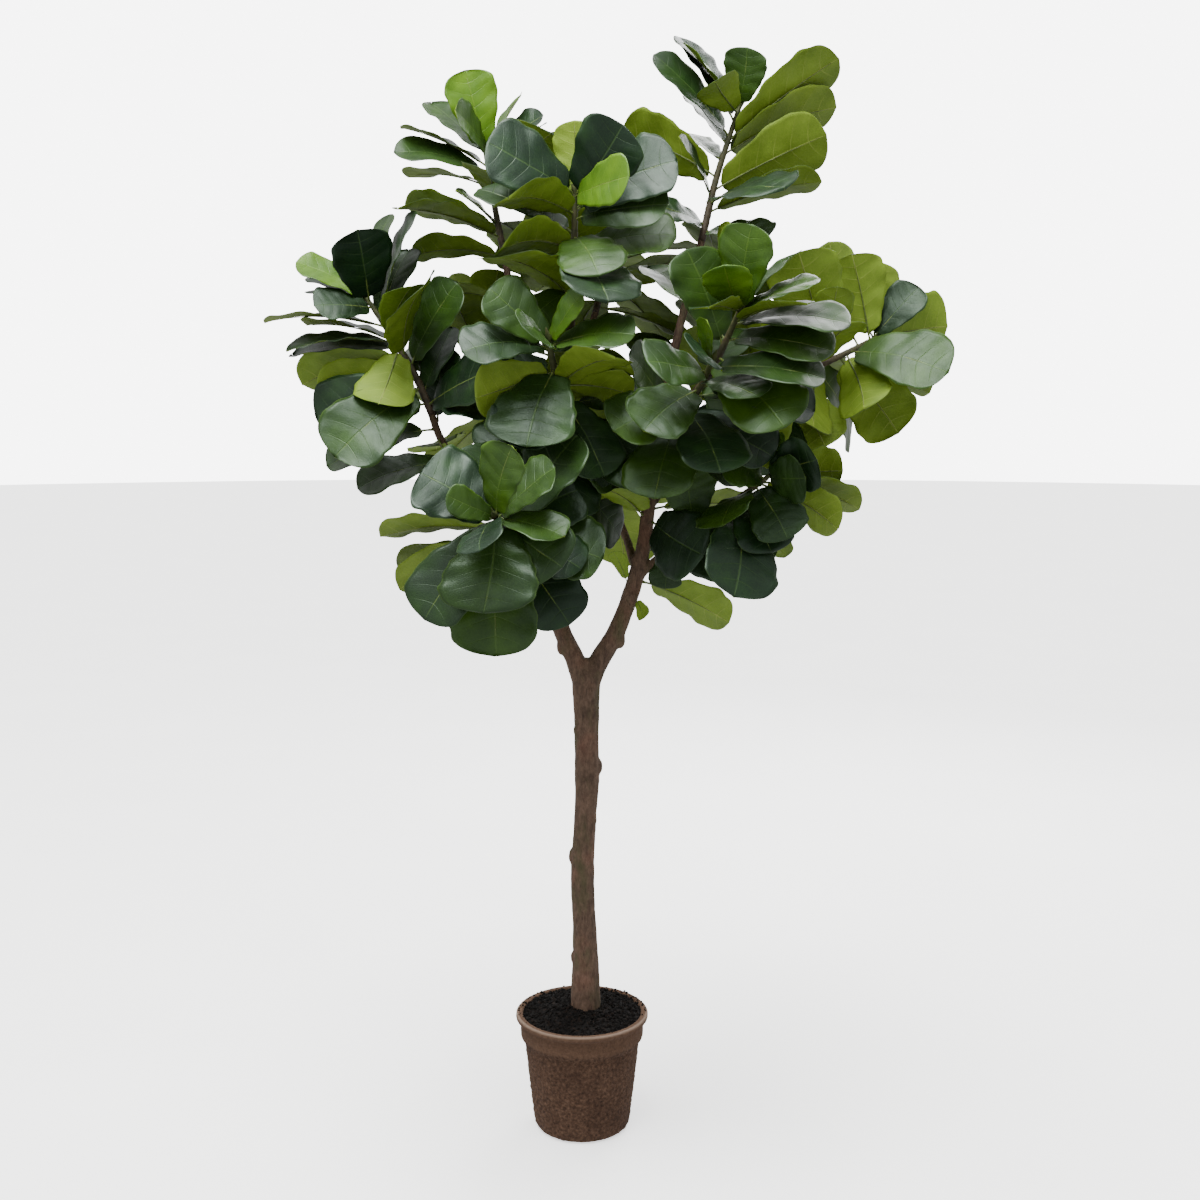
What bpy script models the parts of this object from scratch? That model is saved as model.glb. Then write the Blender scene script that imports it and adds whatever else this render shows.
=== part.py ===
"""Potted fiddle leaf fig: a standard tree with a forked trunk, leafy shoots, a moulded fibre pot and potting soil.

Frame: metres, +Z up, the origin at the centre of the pot's underside. The tree is seen from the front along +Y.
"""

import math
from functools import partial

import bmesh
import bpy
from mathutils import Matrix, Vector
from mathutils.bvhtree import BVHTree

# ---- Driving dimensions, metres ----
CLEARANCE = 0.0005  # between solids that touch
TURNED_SIDES = 40  # facets of the pot and the soil

POT_HEIGHT = 0.262
POT_WALL = 0.006
POT_FLOOR = 0.008
POT_BASE_RADIUS = 0.106
POT_BASE_ROUND = 0.014  # rounded edge under the pot
POT_TAPER = 0.022  # how much wider the wall is below the collar than at the base
POT_COLLAR_HEIGHT = 0.055  # depth of the stepped band under the rim
POT_COLLAR_STEP = 0.008  # how far the band stands out from the wall
POT_LIP_OUT = 0.0105  # how far the rolled lip stands out from the band
POT_LIP_HEIGHT = 0.013
POT_SHOULDER = 0.010  # height of the slope from the wall out to the band
DRAIN_HOLES = 4
DRAIN_RADIUS = 0.007
DRAIN_CIRCLE = 0.062  # how far out the drain holes lie

SOIL_BELOW_RIM = 0.005  # where the soil meets the pot's wall
SOIL_CROWN = 0.019  # how far the soil is heaped up at the trunk
TRUNK_FOOT_DEPTH = 0.15  # how deep the trunk stands in the soil

TREE_SCALE = 1.0  # length of all wood and stems
LEAF_SCALE = 1.0  # size of all leaves
LEAF_THICKNESS = 0.0026  # at the midrib; a blade thins out to its edges
PETIOLE_RADIUS = 0.0026
PETIOLE_SHARE = 0.09  # part of a leaf's reach that is stalk
PETIOLE_FOOT = 1.2  # how much wider a stalk is where it meets the bark
BUD_LENGTH = 0.035  # the pointed sheath at a shoot's end
BUD_WIDEST = 0.35  # where it is widest, as a share of its length
BUD_SWELL = 1.25  # and how wide, as a share of the stem

# ---- Wood: every branch runs from a point inside its parent to its shoot's tip: x, y, z, radius ----
TRUNK = [
    (0.008, 0.000, 0.276, 0.0335),
    (0.008, 0.000, 0.330, 0.0320),
    (0.008, 0.000, 0.400, 0.0272),
    (0.003, 0.000, 0.520, 0.0260),
    (0.002, 0.000, 0.600, 0.0255),
    (0.008, 0.000, 0.700, 0.0242),
    (0.012, 0.000, 0.800, 0.0270),
    (0.011, 0.000, 0.900, 0.0262),
    (0.010, 0.000, 0.985, 0.0300),
    (0.011, 0.000, 1.025, 0.0300),
    (0.012, 0.000, 1.056, 0.0170),
]
# name: (points, how many of them are wood). The last wood point is where the leafy shoot starts.
BRANCHES = {
    "crown_shoot": ([
        (0.006, 0.000, 1.000, 0.0250),
        (-0.014, 0.000, 1.055, 0.0215),
        (-0.036, 0.008, 1.100, 0.0190),
        (-0.056, 0.025, 1.160, 0.0180),
        (-0.058, 0.035, 1.260, 0.0165),
        (-0.045, 0.030, 1.400, 0.0145),
        (-0.034, 0.010, 1.540, 0.0120),
        (-0.026, -0.010, 1.680, 0.0100),
        (-0.018, -0.035, 1.800, 0.0085),
        (-0.012, -0.075, 1.920, 0.0070),
        (-0.010, -0.100, 2.016, 0.0050),
    ], 9),
    "right_shoot": ([
        (0.014, 0.000, 1.000, 0.0260),
        (0.038, 0.000, 1.050, 0.0225),
        (0.068, 0.000, 1.100, 0.0205),
        (0.098, 0.000, 1.170, 0.0185),
        (0.122, 0.000, 1.250, 0.0170),
        (0.136, 0.000, 1.320, 0.0155),
        (0.145, 0.000, 1.400, 0.0140),
        (0.165, -0.010, 1.500, 0.0120),
        (0.205, -0.060, 1.580, 0.0095),
        (0.255, -0.120, 1.650, 0.0080),
        (0.290, -0.165, 1.722, 0.0065),
        (0.314, -0.200, 1.782, 0.0050),
    ], 10),
    "front_shoot": ([
        (0.163, -0.005, 1.480, 0.0100),
        (0.184, -0.090, 1.540, 0.0090),
        (0.218, -0.180, 1.600, 0.0075),
        (0.240, -0.220, 1.640, 0.0065),
        (0.254, -0.255, 1.676, 0.0048),
    ], 2),
    "top_right_shoot": ([
        (0.158, -0.005, 1.460, 0.0110),
        (0.176, 0.060, 1.600, 0.0105),
        (0.214, 0.105, 1.770, 0.0095),
        (0.260, 0.125, 1.950, 0.0082),
        (0.292, 0.140, 2.085, 0.0070),
        (0.340, 0.150, 2.232, 0.0048),
    ], 4),
    "far_right_shoot": ([
        (0.162, 0.000, 1.480, 0.0100),
        (0.250, 0.060, 1.560, 0.0092),
        (0.370, 0.090, 1.620, 0.0082),
        (0.490, 0.095, 1.670, 0.0075),
        (0.585, 0.130, 1.712, 0.0065),
        (0.655, 0.210, 1.745, 0.0048),
    ], 4),
    "low_right_shoot": ([
        (0.112, 0.000, 1.218, 0.0090),
        (0.165, -0.010, 1.275, 0.0085),
        (0.235, -0.050, 1.335, 0.0075),
        (0.310, -0.100, 1.395, 0.0068),
        (0.355, -0.130, 1.432, 0.0060),
        (0.385, -0.150, 1.457, 0.0045),
    ], 4),
    "low_front_shoot": ([
        (-0.056, 0.030, 1.150, 0.0110),
        (-0.090, -0.060, 1.210, 0.0105),
        (-0.122, -0.160, 1.280, 0.0090),
        (-0.142, -0.270, 1.345, 0.0072),
        (-0.155, -0.380, 1.388, 0.0048),
    ], 3),
    "left_shoot": ([
        (-0.057, 0.035, 1.210, 0.0115),
        (-0.125, 0.060, 1.310, 0.0110),
        (-0.220, 0.050, 1.420, 0.0098),
        (-0.292, 0.020, 1.510, 0.0090),
        (-0.316, 0.004, 1.580, 0.0082),
        (-0.352, 0.002, 1.665, 0.0075),
        (-0.395, 0.010, 1.735, 0.0065),
        (-0.452, 0.020, 1.822, 0.0048),
    ], 5),
    "top_left_shoot": ([
        (-0.038, 0.020, 1.480, 0.0110),
        (-0.090, 0.070, 1.620, 0.0100),
        (-0.138, 0.100, 1.770, 0.0088),
        (-0.164, 0.125, 1.900, 0.0075),
        (-0.190, 0.160, 2.030, 0.0065),
        (-0.212, 0.200, 2.150, 0.0048),
    ], 4),
    "middle_shoot": ([
        (-0.041, 0.018, 1.440, 0.0100),
        (-0.044, -0.070, 1.520, 0.0092),
        (-0.040, -0.140, 1.600, 0.0080),
        (-0.050, -0.190, 1.665, 0.0068),
        (-0.059, -0.220, 1.715, 0.0048),
    ], 2),
    "back_left_shoot": ([
        (-0.046, 0.028, 1.370, 0.0105),
        (-0.120, 0.130, 1.470, 0.0098),
        (-0.180, 0.230, 1.570, 0.0085),
        (-0.225, 0.320, 1.680, 0.0068),
        (-0.245, 0.375, 1.770, 0.0048),
    ], 3),
    "back_top_shoot": ([
        (-0.030, 0.000, 1.600, 0.0095),
        (0.000, 0.100, 1.700, 0.0085),
        (0.030, 0.200, 1.800, 0.0075),
        (0.050, 0.280, 1.900, 0.0062),
        (0.060, 0.330, 1.980, 0.0045),
    ], 3),
    "back_right_shoot": ([
        (0.143, 0.000, 1.380, 0.0105),
        (0.210, 0.110, 1.460, 0.0098),
        (0.275, 0.210, 1.550, 0.0085),
        (0.325, 0.300, 1.640, 0.0068),
        (0.345, 0.350, 1.720, 0.0048),
    ], 3),
    "low_back_shoot": ([
        (0.118, 0.000, 1.240, 0.0100),
        (0.100, 0.110, 1.300, 0.0092),
        (0.070, 0.210, 1.370, 0.0080),
        (0.040, 0.300, 1.440, 0.0065),
        (0.025, 0.350, 1.500, 0.0045),
    ], 3),
}

# ---- Leaves of the shoots, from the tip down. Each row holds
# how far along the green stem the leaf grows (0 its start, 1 its tip),
# the way from there to the leaf's own tip: across to the right, away to the back, up,
# the blade's width,
# where the upper face looks, in degrees from the front (0) over the sky (90) to the back (180),
# and how far the blade arches, as a share of its reach.
SHOOT_LEAVES = {
    "top_left_shoot": [
        (0.97, (-0.040, -0.030, 0.165), 0.115, 15, 0.04),
        (0.93, (-0.125, 0.060, 0.120), 0.125, 80, 0.03),
        (0.90, (0.075, 0.050, 0.140), 0.105, 75, 0.03),
        (0.84, (0.125, -0.030, 0.095), 0.115, 60, 0.05),
        (0.80, (-0.190, 0.010, 0.085), 0.140, 82, 0.06),
        (0.72, (-0.200, -0.060, 0.040), 0.135, 62, 0.10),
        (0.60, (0.205, -0.020, 0.100), 0.135, 112, 0.06),
        (0.55, (0.000, -0.170, 0.030), 0.125, 165, 0.06),
        (0.30, (-0.090, -0.040, 0.070), 0.090, 60, 0.05),
        (0.25, (-0.205, 0.000, 0.060), 0.125, 112, 0.06),
        (0.15, (0.190, -0.030, -0.090), 0.135, 70, 0.08),
        (0.05, (-0.200, -0.020, 0.000), 0.125, 110, 0.08),
    ],
    "crown_shoot": [
        (0.97, (-0.170, -0.070, 0.090), 0.155, 30, 0.05),
        (0.95, (0.095, -0.070, 0.125), 0.140, 25, 0.04),
        (0.93, (0.155, -0.100, 0.060), 0.100, 75, 0.05),
        (0.80, (-0.150, 0.030, 0.065), 0.115, 80, 0.05),
        (0.80, (0.185, -0.060, 0.115), 0.155, 35, 0.06),
        (0.75, (-0.100, -0.160, 0.020), 0.135, 120, 0.08),
        (0.70, (0.185, -0.080, 0.020), 0.130, 62, 0.08),
        (0.55, (0.050, -0.170, -0.090), 0.135, 20, 0.08),
        (0.45, (-0.135, -0.120, -0.010), 0.135, 120, 0.08),
        (0.40, (0.205, -0.070, 0.030), 0.155, 55, 0.08),
        (0.12, (-0.110, -0.100, -0.100), 0.135, 40, 0.08),
    ],
    "top_right_shoot": [
        (0.99, (0.010, -0.060, 0.110), 0.095, 20, 0.04),
        (0.93, (-0.095, -0.010, 0.160), 0.105, 80, 0.03),
        (0.85, (-0.135, 0.040, 0.190), 0.125, 60, 0.04),
        (0.75, (-0.165, -0.030, 0.165), 0.125, 55, 0.05),
        (0.70, (-0.080, 0.060, 0.110), 0.100, 60, 0.05),
        (0.72, (0.230, -0.040, 0.165), 0.150, 150, 0.05),
        (0.64, (0.250, 0.050, 0.110), 0.150, 145, 0.06),
        (0.60, (-0.080, 0.110, 0.080), 0.115, 60, 0.05),
        (0.38, (0.240, -0.020, 0.115), 0.150, 145, 0.06),
        (0.32, (-0.075, -0.050, 0.120), 0.090, 50, 0.05),
        (0.20, (0.240, -0.030, 0.060), 0.130, 110, 0.06),
        (0.10, (-0.130, -0.060, 0.040), 0.125, 60, 0.06),
        (0.05, (0.130, -0.100, -0.020), 0.125, 60, 0.06),
    ],
    "right_shoot": [
        (0.98, (0.015, -0.060, 0.155), 0.125, 15, 0.04),
        (0.97, (-0.040, -0.100, 0.075), 0.095, 20, 0.04),
        (0.90, (-0.050, 0.030, 0.175), 0.115, 55, 0.04),
        (0.88, (0.155, -0.030, 0.065), 0.115, 75, 0.05),
        (0.85, (0.125, 0.050, 0.125), 0.115, 130, 0.05),
        (0.75, (0.135, -0.100, 0.045), 0.115, 100, 0.06),
        (0.70, (0.225, -0.050, 0.025), 0.155, 45, 0.08),
        (0.50, (0.200, -0.090, -0.025), 0.135, 55, 0.08),
        (0.40, (-0.075, -0.020, 0.190), 0.145, 10, 0.05),
    ],
    "front_shoot": [
        (0.98, (0.020, -0.070, 0.080), 0.060, 30, 0.04),
        (0.87, (0.220, -0.040, -0.020), 0.135, 60, 0.08),
        (0.80, (-0.120, -0.100, 0.020), 0.125, 50, 0.06),
        (0.67, (0.100, -0.100, -0.030), 0.125, 40, 0.08),
        (0.60, (0.220, -0.030, -0.050), 0.140, 50, 0.08),
        (0.53, (-0.110, -0.100, -0.080), 0.135, 30, 0.08),
        (0.40, (0.200, -0.020, 0.000), 0.125, 60, 0.08),
        (0.30, (-0.150, -0.080, -0.050), 0.140, 40, 0.07),
        (0.25, (0.060, -0.140, -0.120), 0.150, 30, 0.07),
        (0.18, (0.180, -0.060, -0.080), 0.145, 45, 0.07),
        (0.12, (-0.050, -0.120, -0.150), 0.150, 25, 0.07),
        (0.05, (-0.140, -0.080, -0.100), 0.140, 35, 0.07),
    ],
    "far_right_shoot": [
        (0.97, (0.010, 0.020, 0.170), 0.125, 165, 0.04),
        (0.95, (-0.100, 0.030, 0.215), 0.135, 160, 0.05),
        (0.93, (0.175, 0.040, 0.030), 0.165, 155, 0.05),
        (0.85, (-0.050, -0.030, 0.185), 0.125, 150, 0.04),
        (0.80, (0.135, 0.000, -0.100), 0.125, 115, 0.06),
        (0.60, (0.155, -0.030, -0.100), 0.135, 110, 0.06),
        (0.45, (0.020, -0.120, -0.120), 0.125, 150, 0.06),
        (0.35, (0.130, -0.050, -0.160), 0.145, 140, 0.06),
        (0.15, (0.020, -0.060, 0.160), 0.100, 160, 0.05),
        (0.10, (-0.020, -0.100, -0.130), 0.125, 150, 0.06),
        (0.05, (0.060, -0.120, 0.090), 0.125, 140, 0.05),
    ],
    "left_shoot": [
        (0.98, (-0.140, -0.030, 0.070), 0.100, 35, 0.04),
        (0.95, (0.045, 0.030, 0.180), 0.115, 60, 0.04),
        (0.93, (-0.040, -0.040, 0.165), 0.130, 20, 0.04),
        (0.90, (-0.140, 0.050, 0.035), 0.100, 75, 0.05),
        (0.88, (-0.110, -0.080, 0.000), 0.090, 40, 0.06),
        (0.80, (0.085, -0.050, 0.215), 0.135, 25, 0.05),
        (0.75, (-0.255, 0.000, 0.010), 0.145, 88, 0.07),
        (0.70, (0.060, -0.100, 0.090), 0.100, 120, 0.05),
        (0.62, (-0.220, -0.050, -0.020), 0.135, 78, 0.08),
        (0.58, (-0.030, -0.100, -0.120), 0.125, 160, 0.05),
        (0.55, (-0.235, 0.040, -0.010), 0.135, 70, 0.08),
        (0.45, (-0.240, -0.020, -0.040), 0.135, 100, 0.08),
        (0.38, (0.105, -0.040, 0.170), 0.125, 40, 0.05),
        (0.30, (-0.200, -0.020, -0.050), 0.125, 110, 0.08),
        (0.20, (-0.215, -0.040, -0.060), 0.135, 65, 0.08),
        (0.15, (0.060, 0.030, 0.140), 0.115, 50, 0.05),
        (0.08, (-0.170, -0.080, -0.040), 0.125, 60, 0.08),
    ],
    "middle_shoot": [
        (0.98, (-0.115, -0.020, 0.105), 0.115, 30, 0.05),
        (0.97, (0.065, -0.040, 0.095), 0.060, 40, 0.04),
        (0.93, (0.165, -0.050, 0.020), 0.135, 60, 0.08),
        (0.90, (-0.165, -0.080, -0.010), 0.135, 55, 0.08),
        (0.80, (-0.175, 0.050, 0.035), 0.125, 65, 0.06),
        (0.70, (0.155, -0.040, -0.005), 0.125, 110, 0.06),
        (0.67, (-0.050, -0.120, -0.150), 0.180, 20, 0.06),
        (0.63, (-0.150, -0.060, -0.050), 0.125, 120, 0.06),
        (0.53, (-0.100, -0.130, -0.100), 0.135, 25, 0.08),
        (0.50, (0.150, 0.030, -0.020), 0.125, 120, 0.06),
        (0.40, (0.090, -0.050, -0.160), 0.125, 30, 0.05),
        (0.30, (0.160, -0.060, -0.080), 0.140, 40, 0.07),
        (0.24, (-0.160, -0.060, -0.080), 0.140, 45, 0.07),
        (0.16, (0.170, -0.030, 0.000), 0.140, 75, 0.07),
        (0.12, (0.050, -0.110, -0.160), 0.150, 25, 0.07),
        (0.05, (-0.060, -0.110, -0.140), 0.145, 30, 0.07),
    ],
    "low_front_shoot": [
        (0.98, (-0.085, -0.060, 0.045), 0.062, 25, 0.04),
        (0.97, (0.035, -0.050, 0.135), 0.115, 15, 0.04),
        (0.95, (0.130, -0.060, -0.030), 0.100, 60, 0.06),
        (0.93, (-0.125, -0.050, 0.095), 0.175, 20, 0.05),
        (0.90, (-0.020, -0.090, -0.165), 0.185, 12, 0.06),
        (0.88, (0.110, -0.030, 0.100), 0.125, 35, 0.05),
        (0.85, (0.105, -0.090, -0.090), 0.135, 40, 0.07),
        (0.75, (-0.140, -0.060, -0.175), 0.145, 30, 0.07),
        (0.70, (-0.030, 0.050, 0.160), 0.135, 50, 0.05),
        (0.62, (-0.010, -0.070, -0.235), 0.175, 15, 0.06),
        (0.60, (0.150, -0.050, -0.070), 0.125, 50, 0.08),
        (0.55, (-0.245, 0.020, -0.010), 0.135, 110, 0.07),
        (0.50, (0.140, 0.040, 0.085), 0.135, 50, 0.06),
        (0.45, (0.190, -0.030, -0.010), 0.155, 45, 0.08),
        (0.42, (-0.215, 0.000, -0.100), 0.135, 125, 0.07),
        (0.40, (0.120, -0.060, -0.160), 0.135, 30, 0.06),
        (0.20, (-0.215, 0.020, -0.090), 0.125, 115, 0.07),
    ],
    "low_right_shoot": [
        (0.97, (0.020, -0.020, 0.085), 0.035, 30, 0.03),
        (0.93, (0.095, -0.050, 0.055), 0.115, 25, 0.05),
        (0.85, (0.065, -0.080, 0.035), 0.100, 30, 0.05),
        (0.80, (0.155, 0.000, 0.015), 0.125, 115, 0.06),
        (0.75, (-0.100, -0.070, 0.040), 0.115, 40, 0.06),
        (0.60, (0.155, -0.040, -0.090), 0.115, 110, 0.06),
        (0.50, (0.090, -0.090, -0.070), 0.115, 50, 0.08),
        (0.30, (-0.060, -0.120, -0.060), 0.135, 25, 0.08),
        (0.10, (0.060, -0.100, -0.100), 0.125, 30, 0.08),
    ],
}
# Leaves that grow straight from the wood, each a node of its own:
# name: (branch, how far along its wood, way to the tip, width, where the upper face looks, arch)
WOOD_LEAVES = {
    "leaf_over_fork": ("right_shoot", 0.62, (-0.090, -0.090, 0.060), 0.140, 145, 0.05),
    "leaf_fork_left": ("right_shoot", 0.68, (-0.140, -0.030, 0.000), 0.125, 130, 0.05),
    "leaf_limb_right_high": ("right_shoot", 0.64, (0.240, 0.030, -0.010), 0.145, 115, 0.07),
    "leaf_limb_right_middle": ("right_shoot", 0.55, (0.230, -0.070, -0.020), 0.145, 50, 0.08),
    "leaf_limb_right_low": ("right_shoot", 0.44, (0.200, -0.020, -0.090), 0.145, 130, 0.07),
    "leaf_limb_right_back": ("right_shoot", 0.50, (0.080, 0.190, -0.020), 0.145, 90, 0.07),
    "leaf_spur_up": ("right_shoot", 0.40, (-0.045, -0.020, 0.070), 0.040, 150, 0.04),
    "leaf_spur_down": ("right_shoot", 0.36, (0.030, -0.040, -0.040), 0.036, 150, 0.04),
    "leaf_low_right_outer": ("low_right_shoot", 0.98, (0.120, 0.020, -0.110), 0.115, 115, 0.06),
    "leaf_low_right_under": ("low_right_shoot", 0.80, (0.130, -0.050, -0.080), 0.090, 60, 0.06),
    "leaf_low_right_front": ("low_right_shoot", 0.48, (0.010, -0.150, -0.040), 0.145, 30, 0.08),
    "leaf_low_right_up": ("low_right_shoot", 0.70, (-0.030, -0.080, 0.120), 0.125, 30, 0.06),
    "leaf_left_lower": ("left_shoot", 0.88, (-0.225, -0.040, -0.080), 0.145, 60, 0.08),
    "leaf_left_lowest": ("left_shoot", 0.66, (-0.200, -0.050, -0.060), 0.135, 60, 0.08),
    "leaf_left_upright": ("left_shoot", 0.92, (0.015, 0.020, 0.160), 0.115, 85, 0.04),
    "leaf_left_hanging": ("left_shoot", 0.80, (0.030, -0.060, -0.140), 0.115, 150, 0.05),
    "leaf_left_back": ("left_shoot", 0.74, (-0.040, 0.200, -0.010), 0.135, 90, 0.07),
    "leaf_leader_left": ("crown_shoot", 0.86, (-0.190, -0.060, 0.000), 0.135, 60, 0.08),
    "leaf_leader_right": ("crown_shoot", 0.80, (0.190, -0.060, 0.010), 0.135, 60, 0.08),
    "leaf_leader_front": ("crown_shoot", 0.93, (0.030, -0.190, -0.030), 0.135, 30, 0.08),
    "leaf_leader_back": ("crown_shoot", 0.90, (-0.060, 0.190, 0.010), 0.135, 90, 0.07),
    "leaf_leader_low_left": ("crown_shoot", 0.62, (-0.180, -0.050, -0.020), 0.135, 60, 0.08),
    "leaf_leader_low_back": ("crown_shoot", 0.58, (0.060, 0.180, 0.000), 0.135, 90, 0.07),
    "leaf_top_right_low": ("top_right_shoot", 0.80, (0.180, 0.060, 0.000), 0.135, 100, 0.07),
    "leaf_top_left_low": ("top_left_shoot", 0.78, (-0.180, 0.040, 0.020), 0.130, 100, 0.07),
    "leaf_far_right_top": ("far_right_shoot", 0.75, (-0.020, 0.020, 0.170), 0.115, 120, 0.04),
    "leaf_far_right_under": ("far_right_shoot", 0.70, (0.060, -0.070, -0.150), 0.125, 40, 0.06),
    "leaf_leader_right_front": ("crown_shoot", 0.74, (0.150, -0.100, -0.030), 0.145, 40, 0.07),
    "leaf_leader_right_low": ("crown_shoot", 0.66, (0.160, -0.060, -0.080), 0.145, 35, 0.07),
    "leaf_leader_front_low": ("crown_shoot", 0.70, (0.050, -0.150, -0.120), 0.145, 25, 0.07),
    "leaf_limb_left_upper": ("right_shoot", 0.80, (-0.150, -0.080, 0.030), 0.145, 60, 0.07),
    "leaf_limb_left_high": ("right_shoot", 0.86, (-0.120, -0.100, 0.120), 0.145, 35, 0.06),
    "leaf_limb_front": ("right_shoot", 0.74, (0.050, -0.170, -0.050), 0.150, 30, 0.07),
    "leaf_limb_front_high": ("right_shoot", 0.83, (0.090, -0.160, -0.080), 0.145, 30, 0.07),
    "leaf_limb_right_upper": ("right_shoot", 0.78, (0.200, -0.040, 0.010), 0.145, 60, 0.07),
    "leaf_limb_back_high": ("right_shoot", 0.84, (-0.020, 0.190, 0.030), 0.140, 90, 0.07),
    "leaf_far_right_start": ("far_right_shoot", 0.55, (0.080, -0.100, -0.140), 0.145, 40, 0.07),
    "leaf_far_right_middle": ("far_right_shoot", 0.60, (0.100, -0.050, 0.140), 0.135, 150, 0.05),
    "leaf_far_right_front": ("far_right_shoot", 0.90, (0.060, -0.100, -0.120), 0.135, 140, 0.06),
    "leaf_limb_front_low": ("right_shoot", 0.60, (0.170, -0.110, -0.020), 0.150, 60, 0.07),
    "leaf_limb_left_low": ("right_shoot", 0.76, (-0.140, -0.100, 0.020), 0.145, 45, 0.07),
    "leaf_leader_front_high": ("crown_shoot", 0.80, (0.020, -0.170, -0.090), 0.145, 25, 0.07),
    "leaf_leader_left_low": ("crown_shoot", 0.72, (-0.160, -0.110, -0.050), 0.145, 35, 0.07),
}
# Shoots at the back carry leaves in a spiral: name: how many
SPIRAL_LEAVES = {
    "back_left_shoot": 16,
    "back_right_shoot": 16,
    "back_top_shoot": 15,
    "low_back_shoot": 15,
    "top_left_shoot": 7,
    "crown_shoot": 6,
    "top_right_shoot": 5,
    "far_right_shoot": 7,
    "left_shoot": 7,
    "middle_shoot": 3,
    "low_front_shoot": 3,
    "low_right_shoot": 4,
    "right_shoot": 5,
    "front_shoot": 2,
}

# ---- Numbers that set the fineness of the solids ----
TRUNK_SIDES = 11
WOOD_SIDES = 9  # of a branch thicker than THICK_WOOD; a thinner one has STEM_SIDES
THICK_WOOD = 0.015
STEM_SIDES = 6
RINGS_PER_SPAN = 2  # rings between two given points of the trunk or a branch
# A blade's outline: share of the way from stalk to tip, share of the full width
BLADE_OUTLINE = ((0.07, 0.46), (0.34, 0.74), (0.68, 1.00), (0.91, 0.76))
BLADE_PROPORTION = 0.64  # width of a spiral's leaf, as a share of its length
BLADE_CUP = 0.10  # how far the blade's edges stand above its midrib, as a share of half its width
GOLDEN_ANGLE = math.radians(137.5)
SPIRAL_TURN = 1.2  # where a spiral's first leaf points, in radians round the stem
SPIRAL_FIRST = 0.92  # a leaf spiral runs from here on the green stem
SPIRAL_LAST = 0.06  # to here
SPIRAL_LEAN = (38, 88)  # a leaf's angle to the stem, at the tip and where it is full grown
SPIRAL_LEAN_RATE = 1.6  # how soon down the spiral that is so
SPIRAL_REACH = (0.150, 0.250)  # a leaf's length, at the tip and where it is full grown
SPIRAL_REACH_RATE = 1.8
SPIRAL_ARCH = 0.07
ROOM = 0.0030  # room a blade keeps to its neighbours, on each side
# Turns tried for a leaf that would touch a neighbour: degrees sideways and up, nearest first
TURN_STEPS = (0, 9, 18, 27, 38, 50, 64)
TURN_DIRECTIONS = 8
ROLLS = (0, 24, -24, 48, -48)
SIZES = (1.0, 0.8, 0.6)  # sizes tried, should no turn help
SLIDES = (0, 0.03, -0.03, 0.07, -0.07, 0.12, -0.12)  # moves tried along the stem, should no size help


def clear_scene():
    for obj in list(bpy.data.objects):
        bpy.data.objects.remove(obj, do_unlink=True)


def painted(obj, name, colour, roughness):
    """Gives the object its own plain material."""
    material = bpy.data.materials.new(name)
    material.use_nodes = True
    shader = material.node_tree.nodes["Principled BSDF"]
    shader.inputs["Base Color"].default_value = (*colour, 1.0)
    shader.inputs["Roughness"].default_value = roughness
    obj.data.materials.clear()
    obj.data.materials.append(material)
    return obj


def object_from(bm, name):
    """Makes an object of a finished bmesh, with its faces pointing out."""
    bmesh.ops.recalc_face_normals(bm, faces=bm.faces)
    mesh = bpy.data.meshes.new(name)
    bm.to_mesh(mesh)
    bm.free()
    obj = bpy.data.objects.new(name, mesh)
    bpy.context.scene.collection.objects.link(obj)
    return obj


def combined(base, others, operation):
    """Applies one Boolean of all the others to the base object, and removes the others."""
    tools = bpy.data.collections.new("tools")
    for other in others:
        tools.objects.link(other)
    boolean = base.modifiers.new(operation.lower(), "BOOLEAN")
    boolean.operation = operation
    boolean.operand_type = "COLLECTION"
    boolean.collection = tools
    graph = bpy.context.evaluated_depsgraph_get()
    result = bpy.data.meshes.new_from_object(base.evaluated_get(graph))
    base.modifiers.clear()
    base.data = result
    for other in others:
        bpy.data.objects.remove(other, do_unlink=True)
    bpy.data.collections.remove(tools)
    return base


# ---- Paths of the wood and stems ----
def at(points, position):
    """The place and radius at a position on a branch, counted in its points, on a smooth curve through them."""
    first = max(0, min(len(points) - 2, int(position)))
    share = position - first
    near = [points[max(0, min(len(points) - 1, first + step))] for step in (-1, 0, 1, 2)]
    value = [
        0.5
        * (
            2 * b
            + (c - a) * share
            + (2 * a - 5 * b + 4 * c - d) * share**2
            + (3 * b - a - 3 * c + d) * share**3
        )
        for a, b, c, d in zip(*near)
    ]
    return Vector(value[:3]) * TREE_SCALE + foot_shift(), value[3]


def foot_shift():
    """Keeps the trunk's foot on the soil at any tree size and pot height."""
    foot = Vector(TRUNK[0][:3])
    soil_top = POT_HEIGHT - SOIL_BELOW_RIM + SOIL_CROWN
    return Vector((foot.x, foot.y, soil_top)) - foot * TREE_SCALE


def heading(points, position):
    step = 0.02
    last = len(points) - 1
    ahead = at(points, min(last, position + step))[0]
    behind = at(points, max(0, position - step))[0]
    return (ahead - behind).normalized()


def across(direction):
    """A level direction square to the given one, used as the first point of each ring."""
    side = direction.cross(Vector((0.0, 1.0, 0.0)))
    return side.normalized()


def ring(bm, centre, direction, radius, sides):
    side = across(direction)
    return [
        bm.verts.new(centre + Matrix.Rotation(math.tau * step / sides, 3, direction) @ side * radius)
        for step in range(sides)
    ]


def bridge(bm, lower, upper):
    count = len(lower)
    for step in range(count):
        after = (step + 1) % count
        bm.faces.new((lower[step], lower[after], upper[after], upper[step]))


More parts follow.
